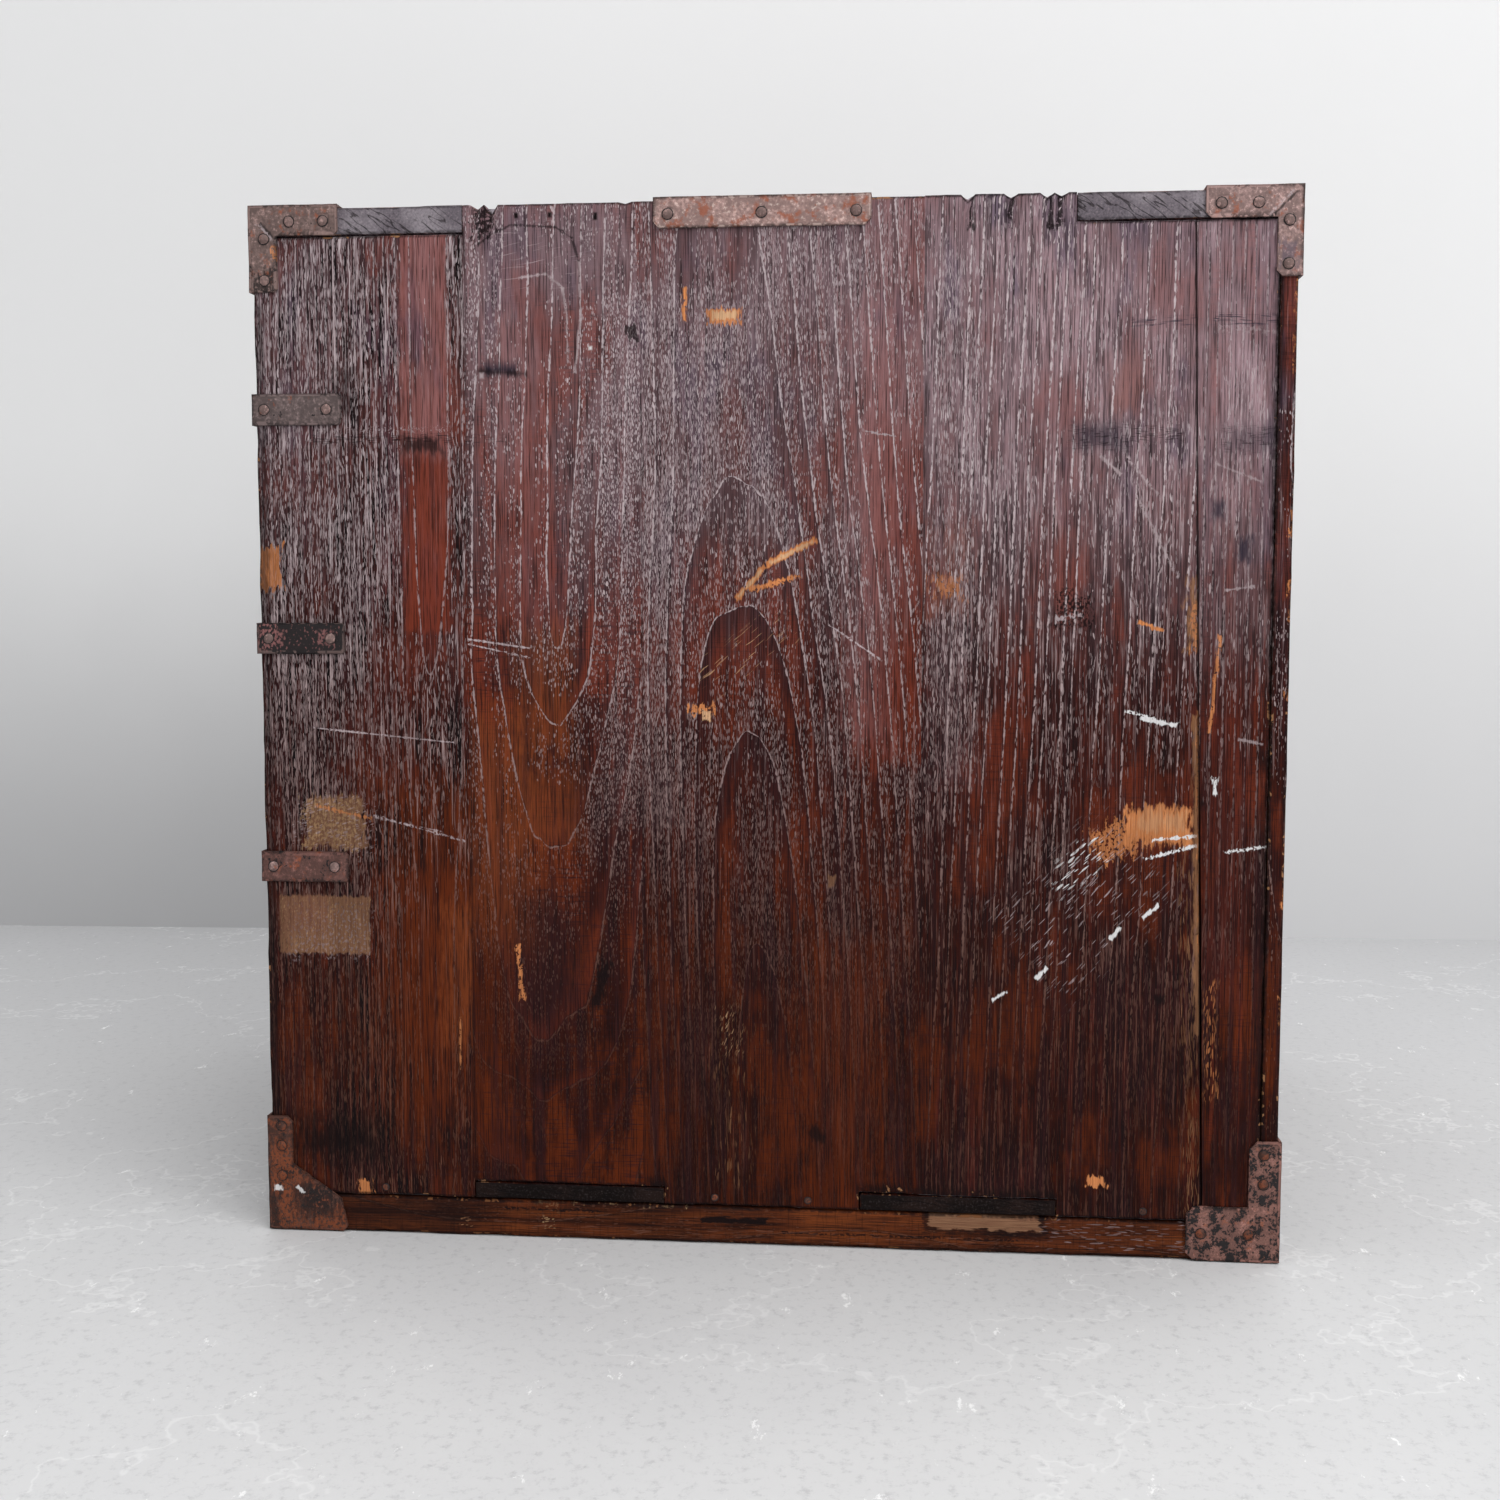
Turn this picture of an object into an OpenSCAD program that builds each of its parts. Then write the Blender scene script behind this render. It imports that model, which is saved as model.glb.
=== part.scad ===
// Document chest: a small case of four graduated drawers standing on two runners.
// The side boards are glued up from five planks each, the top is finger jointed to
// them, the bottom is tenoned through them, and nailed iron binds the corners and rails.
// The front faces -Y, the case is symmetrical about X = 0, and the floor is Z = 0.

/* [Case boards] */
// Clear width between the two sides
inner_w = 392; // [300:1:600]
// Thickness of each side
side_t = 14; // [10:0.5:22]
// Thickness of the top
top_t = 14; // [10:0.5:22]
// Thickness of the bottom
bottom_t = 9; // [6:0.5:16]
// Thickness of the back planks
back_t = 9; // [6:0.5:14]
// Thickness of each shelf between two drawers
shelf_t = 17; // [12:0.5:24]
// Height of each runner under the sides
runner_h = 20; // [12:1:40]
// Width of each runner
runner_w = 30; // [22:1:60]

/* [Side planks, from the front] */
// Width of the first plank, which is also the front finger of the top
plank_1_w = 109; // [70:1:160]
// Width of the second plank
plank_2_w = 89; // [50:1:140]
// Width of the third plank
plank_3_w = 141; // [120:1:200]
// Width of the fourth plank at its top
plank_4_w = 130; // [90:1:180]
// Width of the fifth plank at its top
plank_5_w = 40; // [30:1:80]
// How far the last seam drifts backwards on its way down
seam_drift = 12; // [0:1:20]

/* [Drawer openings, from the top] */
// Height of the first opening
opening_1_h = 78; // [72:1:140]
// Height of the second opening
opening_2_h = 99; // [72:1:160]
// Height of the third opening
opening_3_h = 101; // [72:1:180]
// Height of the fourth opening
opening_4_h = 156; // [72:1:220]

/* [Joinery] */
// Depth of the housings that hold the shelf ends
housing_d = 5; // [3:0.5:8]
// Length of the back finger of the top
back_finger = 106; // [60:1:140]
// Length of each tenon of the bottom, the first of which starts at the first seam
tenon_w = 100; // [60:1:120]
// Distance between the starts of the two tenons
tenon_pitch = 200; // [150:1:230]

/* [Drawers] */
// Thickness of a drawer front
front_t = 14; // [11:0.5:20]
// Lip left in front of the rabbets that take the sides and the bottom
front_lip = 5; // [3:0.5:8]
// Thickness of the drawer sides
drawer_side_t = 9; // [6:0.5:14]
// Thickness of the drawer back
drawer_back_t = 9; // [6:0.5:14]
// Thickness of the drawer bottom
drawer_bottom_t = 6; // [4:0.5:10]
// How far the drawer sides stop below the top of the front
side_lower = 2; // [0:0.5:8]
// How far the drawer back stops below the drawer sides
back_lower = 3; // [0:0.5:10]

/* [Ironwork] */
// Thickness of the iron
iron_t = 1.5; // [1:0.1:2.5]
// Length of a rail strap on the side
strap_l = 45; // [35:1:70]
// Length of a rail strap on the front
strap_front_l = 32; // [30:1:60]
// Length of the strap in the middle of the top edge
edge_strap_l = 108; // [80:1:160]
// Width of the flanges that lie on the top
top_flange = 14; // [11:1:25]
// Length of the level arms of the top corner irons
corner_l = 45; // [42:1:70]
// Length of the upright arms of the top corner irons
corner_drop = 42; // [40:1:70]
// Width of the upright arm of a top front iron on the side
front_post_w = 13.5; // [10:0.5:20]
// Width of the upright arm of a top back iron on the side
back_post_w = 11; // [8:0.5:18]
// Height of the bottom front irons
foot_front_h = 61; // [58:1:80]
// Width of the upright arm of a bottom front iron on the side
foot_front_w = 12.5; // [11:0.5:20]
// Length of the gusset of a bottom front iron along the floor
gusset_l = 42; // [40:1:70]
// Length of the gusset where it starts to slope up
gusset_slope_l = 38; // [30:1:60]
// Height at which the gusset starts to slope up
gusset_low_h = 17.5; // [10:0.5:24]
// Height at which the gusset meets the upright arm
gusset_high_h = 35.5; // [30:0.5:50]
// Height of the bottom back irons
foot_back_h = 62; // [58:1:80]
// Width of the upright arm of a bottom back iron on the side
foot_back_w = 14.5; // [11:0.5:20]
// Length of the level arm of a bottom back iron
block_l = 45; // [42:1:70]
// Height of the level arm of a bottom back iron
block_h = 28; // [20:1:36]
// Length of the bottom irons across the runner ends
foot_end_l = 27; // [24:1:30]

/* [Nails] */
// Radius of a strap nail's domed head
head_r = 3; // [2:0.1:4]
// Height of a strap nail's domed head
head_h = 1.4; // [0.8:0.1:2]
// Radius of a nail's shank
shank_r = 1.1; // [0.8:0.1:1.5]
// Radius of a case nail's flat head
flat_head_r = 2; // [1.6:0.1:3]
// How far a case nail's flat head stands proud of the wood
flat_head_h = 0.4; // [0.2:0.1:1]
// Length of the case nails
case_nail_l = 22; // [19:1:26]

/* [Pulls] */
// Distance between the two posts of a pull
post_span = 92; // [60:1:140]
// Distance from the drawer front to the pivot of the bail
pivot_out = 9; // [8:0.5:14]
// Drop from the pivot to the middle of the bail's bar
bail_drop = 27; // [22:1:30]
// Radius of the bail's rod
rod_r = 3; // [2:0.1:3.5]
// Radius of the bends at the bail's lower corners
bail_bend_r = 10; // [7:0.5:14]
// Radius of the bail's pins
pin_r = 2.4; // [1.6:0.1:2.6]
// Outer radius of a post's eye
eye_r = 5.5; // [4.5:0.1:6]
// Thickness of a post's eye
eye_t = 5; // [3:0.5:8]
// Radius of a post's stem
stem_r = 2.2; // [1.5:0.1:3]
// Radius of the washers under the posts
washer_r = 10; // [7:0.5:14]
// Thickness of the washers
washer_t = 1.2; // [0.8:0.1:2]
// Reach of the clenched ends inside the drawer, on either side of the stem
clench_l = 11; // [7:1:16]
// Width of the clenched ends
clench_w = 4; // [3:0.5:6]
// Thickness of the clenched ends
clench_t = 1.6; // [1:0.1:2.5]

/* [Clearances] */
// Gap on either side of a drawer
drawer_side_gap = 1; // [0.5:0.1:2]
// Gap between a drawer and what it runs on
run_gap = 0.3; // [0.2:0.05:0.5]
// Gap above a drawer
drawer_top_gap = 1.5; // [0.5:0.1:3]
// Gap between a closed drawer and the back planks
stop_gap = 0.5; // [0.3:0.1:2]
// Gap between a pin and the bore of its eye
pin_gap = 0.08; // [0.03:0.01:0.1]
// Gap between an eye and the arm of its bail
arm_gap = 0.5; // [0.3:0.1:1]
// Gap round a shank or stem where it passes through a hole
hole_gap = 0.15; // [0.05:0.05:0.3]
// Distance by which the iron stays inside the edge of a rail or a board
iron_inset = 0.5; // [0.5:0.1:1]

/* [Hidden] */
$fn = 48;

case_w = inner_w + 2 * side_t;
half_w = case_w / 2;
seam_1 = plank_1_w;
seam_2 = seam_1 + plank_2_w;
seam_3 = seam_2 + plank_3_w;
seam_4 = seam_3 + plank_4_w;
side_d = seam_4 + plank_5_w;
case_d = side_d + back_t;
seams_top = [0, seam_1, seam_2, seam_3, seam_4, side_d];
seams_foot = [0, seam_1, seam_2, seam_3, seam_4 + seam_drift, side_d];

// Floor of each drawer's opening, counted from the top drawer down
openings = [opening_1_h, opening_2_h, opening_3_h, opening_4_h];
floor_4 = runner_h + bottom_t;
floor_3 = floor_4 + opening_4_h + shelf_t;
floor_2 = floor_3 + opening_3_h + shelf_t;
floor_1 = floor_2 + opening_2_h + shelf_t;
floors = [floor_1, floor_2, floor_3, floor_4];
under_top = floor_1 + opening_1_h;
case_h = under_top + top_t;

drawer_w = inner_w - 2 * drawer_side_gap;
drawer_l = side_d - stop_gap;

// Nails that go through the side iron stop short of the drawers
strap_nail_l = side_t - 3;
strap_h = shelf_t - 2 * iron_inset;
end_nail = 7.5;
nail_in = 7;
long_nail = corner_l - end_nail;
short_nail = 20;
flange_nail = 28;
post_nails = [15.5, corner_drop - 6];
front_post_nail = 25;
strap_edge_nail = 5;
strap_front_nails = [side_t + 1, strap_front_l - 6];
foot_front_nails = [29, 45, foot_front_h - 5.5];
foot_back_nails = [40, foot_back_h - 7];
foot_end_nails = [36, 50];
foot_end_nail = [20, runner_h / 2];

case_nail_x = half_w - side_t / 2;
top_nails = [corner_l + 17, plank_1_w - 15];
back_nails = 6;
back_nail_low = foot_back_h + 22;
back_nail_high = case_h - corner_drop - 30;
back_plank_w = case_w / 3;
back_plank_nail = 45;
middle_nail = 24;

// The bails stand out at the front, and the nailed iron at the back
pin_bore_r = pin_r + pin_gap;
arm_x = post_span / 2 + eye_t / 2 + arm_gap + rod_r;
front_reach = pivot_out + max(rod_r, eye_r);
back_reach = iron_t + head_h;
front_y = (front_reach - back_reach - case_d) / 2;

wood = "#4a322b";
worn_wood = "#5a3b2c";
end_grain = "#35302e";
pale_wood = "#9a7650";
rusty_iron = "#5b3a2d";
black_iron = "#3b3735";
eps = 0.5;

// Every piece is drawn with the case front at Y = 0, then moved to the origin
module placed() {
    translate([0, front_y, 0]) children();
}

module both_sides() {
    children();
    mirror([1, 0, 0]) children();
}

// A plate that stands in the YZ plane, from an outline of [y, z]
module on_side(t) {
    rotate([90, 0, 90]) linear_extrude(t) children();
}

// A plate that stands in the XZ plane in front of Y = 0, from an outline of [x, z]
module on_front(t) {
    rotate([90, 0, 0]) linear_extrude(t) children();
}

// Boards of the case

module top_board() {
    notch_l = case_d - plank_1_w - back_finger;
    color(worn_wood) difference() {
        translate([-half_w, 0, under_top]) cube([case_w, case_d, top_t]);
        both_sides()
            translate([inner_w / 2, plank_1_w, under_top - eps])
                cube([side_t + eps, notch_l, top_t + 2 * eps]);
    }
}

// The tenons of the bottom, which the sides are cut away for
module tenons() {
    for (k = [0, 1])
        translate([inner_w / 2, seam_1 + k * tenon_pitch, runner_h])
            cube([side_t, tenon_w, bottom_t]);
}

module bottom_board() {
    color(end_grain) {
        translate([-inner_w / 2, 0, runner_h]) cube([inner_w, side_d, bottom_t]);
        both_sides() tenons();
    }
}

module runner() {
    color(worn_wood) translate([half_w - runner_w, 0, 0]) cube([runner_w, case_d, runner_h]);
}

// What the top's two fingers take away from a side board
module top_fingers() {
    translate([inner_w / 2 - eps, -eps, under_top])
        cube([side_t + 2 * eps, plank_1_w + eps, top_t + eps]);
    translate([inner_w / 2 - eps, case_d - back_finger, under_top])
        cube([side_t + 2 * eps, back_finger, top_t + eps]);
}

module shelf_block(i) {
    shelf_w = inner_w + 2 * housing_d;
    translate([-shelf_w / 2, 0, floors[i - 1] - shelf_t]) cube([shelf_w, side_d, shelf_t]);
}

// One plank of the right side, from the front: its edges follow the seams
module side_plank(i) {
    outline = [
        [seams_foot[i - 1], runner_h],
        [seams_foot[i], runner_h],
        [seams_top[i], case_h],
        [seams_top[i - 1], case_h]
    ];
    color(wood) difference() {
        translate([inner_w / 2, 0, 0]) on_side(side_t) polygon(outline);
        top_fingers();
        tenons();
        for (k = [1:3]) shelf_block(k);
    }
}

module shelf(i) {
    color(worn_wood) shelf_block(i);
}

module back_plank(i) {
    color(wood)
        translate([-half_w + (i - 1) * back_plank_w, side_d, runner_h])
            cube([back_plank_w, back_t, under_top - runner_h]);
}

// Nails, drawn pointing down from the surface that their head lies on

module strap_nail() {
    rim_h = head_h / 3;
    translate([0, 0, -strap_nail_l - iron_t]) cylinder(h = strap_nail_l + iron_t, r = shank_r);
    cylinder(h = rim_h, r = head_r);
    translate([0, 0, rim_h]) cylinder(h = head_h - rim_h, r1 = head_r, r2 = head_r / 2);
}

module case_nail() {
    translate([0, 0, -case_nail_l]) cylinder(h = case_nail_l, r = shank_r);
    translate([0, 0, -flat_head_h]) cylinder(h = 2 * flat_head_h, r = flat_head_r);
}

module nail_hole() {
    translate([0, 0, -iron_t - eps]) cylinder(h = iron_t + 2 * eps, r = shank_r + hole_gap);
}

// Corner frames: X, Y and Z run inwards along the case's edges, and iron lies below zero

module at_top_front() {
    translate([half_w, 0, case_h]) mirror([1, 0, 0]) mirror([0, 0, 1]) children();
}

module at_top_back() {
    translate([half_w, case_d, case_h]) mirror([1, 0, 0]) mirror([0, 1, 0]) mirror([0, 0, 1]) children();
}

module at_foot_front() {
    translate([half_w, 0, iron_inset]) mirror([1, 0, 0]) children();
}

module at_foot_back() {
    translate([half_w, case_d, iron_inset]) mirror([1, 0, 0]) mirror([0, 1, 0]) children();
}

// A spot on the iron of one face, with Z pointing out of the case
module side_spot(y, z) {
    translate([-iron_t, y, z]) rotate([0, -90, 0]) children();
}

module front_spot(x, z) {
    translate([x, -iron_t, z]) rotate([90, 0, 0]) children();
}

module top_spot(x, y) {
    translate([x, y, -iron_t]) rotate([180, 0, 0]) children();
}

// An L with an arm of length la and width wa along its first axis, and one of lb and wb along its second
module ell(la, wa, lb, wb, lip_a, lip_b) {
    polygon([[-lip_a, -lip_b], [la, -lip_b], [la, wa], [wb, wa], [wb, lb], [-lip_a, lb]]);
}

// Plates of a top corner iron: side, front or back, and top
module top_corner_plates(post_w) {
    end_post_w = side_t - 2 * iron_inset;
    end_arm_w = top_t - 2 * iron_inset;
    translate([-iron_t, 0, 0]) on_side(iron_t)
        ell(corner_l, top_t, corner_drop, post_w, iron_t, iron_t);
    on_front(iron_t)
        ell(corner_l, end_arm_w, corner_drop, end_post_w, iron_t, iron_t);
    translate([0, 0, -iron_t]) linear_extrude(iron_t)
        ell(corner_l, top_flange, corner_l, top_flange, iron_t, iron_t);
}

module top_corner_spots(post_w) {
    for (y = [short_nail, long_nail]) side_spot(y, top_t / 2) children();
    for (z = post_nails) side_spot(post_w / 2, z) children();
    for (x = [short_nail, long_nail]) front_spot(x, top_t / 2) children();
    front_spot(side_t / 2, front_post_nail) children();
    top_spot(nail_in, flange_nail) children();
    top_spot(flange_nail, nail_in) children();
}

module top_corner_iron(post_w) {
    difference() {
        top_corner_plates(post_w);
        top_corner_spots(post_w) nail_hole();
    }
}

// Plates of a bottom front iron: a gusseted foot on the side, and an L on the front
module foot_front_plates() {
    translate([-iron_t, 0, 0]) on_side(iron_t) polygon([
        [-iron_t, 0],
        [gusset_l, 0],
        [gusset_slope_l, gusset_low_h],
        [foot_front_w, gusset_high_h],
        [foot_front_w, foot_front_h],
        [-iron_t, foot_front_h]
    ]);
    on_front(iron_t)
        ell(foot_end_l, runner_h - 2 * iron_inset, foot_front_h, side_t - 2 * iron_inset, iron_t, 0);
}

module foot_front_spots() {
    for (z = foot_front_nails) side_spot(foot_front_w / 2, z) children();
    for (z = foot_end_nails) front_spot(side_t / 2, z) children();
    front_spot(foot_end_nail[0], foot_end_nail[1]) children();
}

module foot_back_plates() {
    translate([-iron_t, 0, 0]) on_side(iron_t)
        ell(block_l, block_h, foot_back_h, foot_back_w, iron_t, 0);
    on_front(iron_t)
        ell(foot_end_l, runner_h - 2 * iron_inset, foot_back_h, side_t - 2 * iron_inset, iron_t, 0);
}

module foot_back_spots() {
    for (z = foot_back_nails) side_spot(foot_back_w / 2, z) children();
    for (y = [nail_in * 2, block_l - end_nail]) side_spot(y, block_h / 2) children();
    for (z = foot_end_nails) front_spot(side_t / 2, z - 3) children();
    front_spot(foot_end_nail[0], foot_end_nail[1]) children();
}

module top_front_corner_irons() {
    color(black_iron) both_sides() at_top_front() top_corner_iron(front_post_w);
}

module top_back_corner_irons() {
    color(black_iron) both_sides() at_top_back() top_corner_iron(back_post_w);
}

module bottom_front_corner_irons() {
    color(rusty_iron) both_sides() at_foot_front() difference() {
        foot_front_plates();
        foot_front_spots() nail_hole();
    }
}

module bottom_back_corner_irons() {
    color(rusty_iron) both_sides() at_foot_back() difference() {
        foot_back_plates();
        foot_back_spots() nail_hole();
    }
}

// The strap over the middle of the top's edge, in a frame whose Y is centred on the case
module at_edge_strap() {
    translate([half_w, case_d / 2, case_h]) mirror([1, 0, 0]) mirror([0, 0, 1]) children();
}

module edge_strap_spots() {
    for (y = [nail_in + iron_inset - edge_strap_l / 2, 0, edge_strap_l / 2 - nail_in - iron_inset])
        side_spot(y, nail_in) children();
    for (y = [-flange_nail, flange_nail]) top_spot(nail_in, y) children();
}

module top_edge_straps() {
    color(black_iron) both_sides() at_edge_strap() difference() {
        translate([-iron_t, -edge_strap_l / 2, -iron_t]) {
            cube([iron_t, edge_strap_l, top_t + iron_t]);
            cube([top_flange + iron_t, edge_strap_l, iron_t]);
        }
        edge_strap_spots() nail_hole();
    }
}

// The strap round the front end of a shelf, centred on the shelf's thickness
module at_rail(i) {
    translate([half_w, 0, floors[i - 1] - shelf_t / 2]) mirror([1, 0, 0]) children();
}

module rail_spots() {
    for (y = [strap_edge_nail, strap_l - end_nail]) side_spot(y, 0) children();
    for (x = strap_front_nails) front_spot(x, 0) children();
}

module rail_strap() {
    difference() {
        translate([-iron_t, -iron_t, -strap_h / 2]) {
            cube([iron_t, strap_l + iron_t, strap_h]);
            cube([strap_front_l + iron_t, iron_t, strap_h]);
        }
        rail_spots() nail_hole();
    }
}

module rail_straps() {
    color(rusty_iron) both_sides() for (i = [1:3]) at_rail(i) rail_strap();
}

module strap_nails() {
    color(rusty_iron) both_sides() {
        at_top_front() top_corner_spots(front_post_w) strap_nail();
        at_top_back() top_corner_spots(back_post_w) strap_nail();
        at_foot_front() foot_front_spots() strap_nail();
        at_foot_back() foot_back_spots() strap_nail();
        at_edge_strap() edge_strap_spots() strap_nail();
        for (i = [1:3]) at_rail(i) rail_spots() strap_nail();
    }
}

// Nails through the sides into the bottom, between and beside its tenons
module bottom_nail_spots() {
    middle = seam_1 + (tenon_w + tenon_pitch) / 2;
    last = (seam_1 + tenon_pitch + tenon_w + side_d) / 2;
    for (y = [seam_1 / 2 + nail_in, middle - middle_nail, middle + middle_nail, last - nail_in])
        translate([half_w, y, runner_h + bottom_t / 2]) rotate([0, 90, 0]) children();
}

// Nails through the top's fingers down into the sides
module top_nail_spots() {
    for (y = top_nails) {
        translate([case_nail_x, y, case_h]) children();
        translate([case_nail_x, case_d - y, case_h]) children();
    }
}

// Nails through the back planks into the sides, the shelves and the bottom
module back_nail_spots() {
    step = (back_nail_high - back_nail_low) / (back_nails - 1);
    shelf_middles = [for (i = [0:2]) floors[i] - shelf_t / 2];
    for (k = [0:back_nails - 1])
        translate([case_nail_x, case_d, back_nail_low + k * step]) rotate([-90, 0, 0]) children();
    for (x = [back_plank_nail, back_plank_w - back_plank_nail, back_plank_w + back_plank_nail])
        for (z = concat(shelf_middles, runner_h + bottom_t / 2))
            translate([x, case_d, z]) rotate([-90, 0, 0]) children();
}

module case_nails() {
    color(rusty_iron) both_sides() {
        bottom_nail_spots() case_nail();
        top_nail_spots() case_nail();
        back_nail_spots() case_nail();
    }
}

// Drawers, numbered from the top

function drawer_z(n) = floors[n - 1] + run_gap;
function drawer_h(n) = openings[n - 1] - run_gap - drawer_top_gap;
function pull_z(n) = drawer_z(n) + drawer_h(n) / 2;

// The two posts of a drawer's pull stand at this height on the front
module at_posts(n) {
    for (s = [-1, 1]) translate([s * post_span / 2, 0, pull_z(n)]) children();
}

module drawer_front(n) {
    rabbet_y = front_t - front_lip;
    color(wood) difference() {
        translate([-drawer_w / 2, 0, drawer_z(n)]) cube([drawer_w, front_t, drawer_h(n)]);
        both_sides()
            translate([drawer_w / 2 - drawer_side_t, front_lip, drawer_z(n) - eps])
                cube([drawer_side_t + eps, rabbet_y + eps, drawer_h(n) + 2 * eps]);
        translate([-drawer_w / 2 - eps, front_lip, drawer_z(n) - eps])
            cube([drawer_w + 2 * eps, rabbet_y + eps, drawer_bottom_t + eps]);
        at_posts(n) translate([0, -eps, 0]) rotate([-90, 0, 0])
            cylinder(h = front_t + 2 * eps, r = stem_r + hole_gap);
    }
}

module drawer_side(n) {
    side_h = drawer_h(n) - drawer_bottom_t - side_lower;
    color(pale_wood)
        translate([drawer_w / 2 - drawer_side_t, front_lip, drawer_z(n) + drawer_bottom_t])
            cube([drawer_side_t, drawer_l - front_lip, side_h]);
}

module drawer_back(n) {
    back_w = drawer_w - 2 * drawer_side_t;
    back_h = drawer_h(n) - drawer_bottom_t - side_lower - back_lower;
    color(pale_wood)
        translate([-back_w / 2, drawer_l - drawer_back_t, drawer_z(n) + drawer_bottom_t])
            cube([back_w, drawer_back_t, back_h]);
}

module drawer_bottom(n) {
    color(pale_wood)
        translate([-drawer_w / 2, front_lip, drawer_z(n)])
            cube([drawer_w, drawer_l - front_lip, drawer_bottom_t]);
}

// A post: an eye for the bail's pin on a stem that passes through the front and is clenched inside
module pull_post() {
    stem_l = pivot_out + front_t + clench_t;
    difference() {
        union() {
            translate([-eye_t / 2, -pivot_out, 0]) rotate([0, 90, 0]) cylinder(h = eye_t, r = eye_r);
            translate([0, -pivot_out, 0]) rotate([-90, 0, 0]) cylinder(h = stem_l, r = stem_r);
            translate([-clench_l, front_t, -clench_w / 2]) cube([2 * clench_l, clench_t, clench_w]);
        }
        translate([-eye_t, -pivot_out, 0]) rotate([0, 90, 0]) cylinder(h = 2 * eye_t, r = pin_bore_r);
    }
}

module pull_posts(n) {
    color(black_iron) at_posts(n) pull_post();
}

module pull_washers(n) {
    bore = stem_r + hole_gap;
    rim = [
        [bore, 0],
        [washer_r, 0],
        [washer_r, washer_t / 2],
        [washer_r - washer_t, washer_t],
        [bore, washer_t]
    ];
    color(black_iron) at_posts(n) rotate([90, 0, 0]) rotate_extrude() polygon(rim);
}

// A bail hangs from its two pins: half of it is drawn at the right, with the pivot at the origin
module half_bail() {
    pin_in = post_span / 2 - eye_t;
    arm_l = bail_drop - bail_bend_r;
    translate([pin_in, 0, 0]) rotate([0, 90, 0]) cylinder(h = arm_x - pin_in, r = pin_r);
    translate([arm_x, 0, -arm_l]) cylinder(h = arm_l + rod_r + eps, r = rod_r);
    translate([arm_x - bail_bend_r, 0, -arm_l]) rotate([90, 0, 0]) rotate_extrude(angle = -90)
        translate([bail_bend_r, 0]) circle(r = rod_r);
    translate([0, 0, -bail_drop]) rotate([0, 90, 0]) cylinder(h = arm_x - bail_bend_r, r = rod_r);
}

module bail(n) {
    color(black_iron) translate([0, -pivot_out, pull_z(n)]) both_sides() half_bail();
}

placed() top_board();
placed() bottom_board();
placed() runner();  // right_runner
placed() mirror([1, 0, 0]) runner();  // left_runner
for (i = [1:5]) {
    placed() side_plank(i);
    placed() mirror([1, 0, 0]) side_plank(i);
}
for (i = [1:3]) {
    placed() shelf(i);
    placed() back_plank(i);
}
placed() rail_straps();
placed() top_edge_straps();
placed() top_front_corner_irons();
placed() top_back_corner_irons();
placed() bottom_front_corner_irons();
placed() bottom_back_corner_irons();
placed() strap_nails();
placed() case_nails();
for (n = [1:4]) {
    placed() drawer_front(n);
    placed() drawer_side(n);
    placed() mirror([1, 0, 0]) drawer_side(n);
    placed() drawer_back(n);
    placed() drawer_bottom(n);
    placed() pull_posts(n);
    placed() pull_washers(n);
    placed() bail(n);
}
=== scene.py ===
# %% [markdown]
# # An old document chest, board by board
# The photograph shows one side of a four-drawer chest: five planks with strong grain, bound at the
# corners with rusty iron. The solid model already has every board, drawer and nail at its true place.
# This lesson loads it as a fixed frame and gives each piece its worn shape and its finish.

# %% Load the measured chest
import math
import random
from types import SimpleNamespace

import bmesh
import bpy
from mathutils import Matrix, Vector, noise


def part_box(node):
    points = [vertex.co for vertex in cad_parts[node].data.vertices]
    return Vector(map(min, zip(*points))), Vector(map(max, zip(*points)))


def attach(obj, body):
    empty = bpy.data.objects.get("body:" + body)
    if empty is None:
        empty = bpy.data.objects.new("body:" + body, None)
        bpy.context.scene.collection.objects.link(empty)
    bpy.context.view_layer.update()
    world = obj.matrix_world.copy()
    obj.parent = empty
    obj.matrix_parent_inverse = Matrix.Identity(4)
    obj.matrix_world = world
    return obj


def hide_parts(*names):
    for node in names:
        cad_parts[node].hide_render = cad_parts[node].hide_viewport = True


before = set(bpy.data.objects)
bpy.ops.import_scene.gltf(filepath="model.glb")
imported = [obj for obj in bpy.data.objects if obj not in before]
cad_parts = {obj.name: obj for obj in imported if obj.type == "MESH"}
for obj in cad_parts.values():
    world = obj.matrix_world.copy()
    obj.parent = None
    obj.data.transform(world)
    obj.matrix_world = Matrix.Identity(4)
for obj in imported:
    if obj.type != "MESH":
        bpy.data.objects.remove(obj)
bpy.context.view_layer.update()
FRONT_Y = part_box("right_side_plank_1")[0].y
SIDE_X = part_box("right_side_plank_1")[1].x
MM = 0.001
IN_MM = (1 / MM, 1 / MM, 1 / MM)  # turns a place in metres into millimetres
CHEST_HEIGHT = 530.0  # in mm

# %% [markdown]
# ## The camera
# The photographer stood about a metre from the side, a little above its middle and turned a few degrees
# toward the back. A camera is only a point, a direction and a lens, so these three are set directly.

# %% Camera at the photograph's viewing angle
camera = bpy.data.objects.new("camera", bpy.data.cameras.new("camera"))
bpy.context.scene.collection.objects.link(camera)
camera.location = (1.1442, 0.0938, 0.335)
camera.rotation_mode = "QUATERNION"
camera.rotation_quaternion = Vector((-0.9915, -0.0995, -0.0839)).to_track_quat("-Z", "Y")
camera.data.lens = 44.904
camera.data.sensor_width = 36
camera.data.clip_start = 0.01
camera.data.clip_end = 60
bpy.context.scene.camera = camera
bpy.context.scene.view_settings.view_transform = "Standard"
print("camera stands", round(camera.location.x - SIDE_X, 3), "m from the side")

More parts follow.
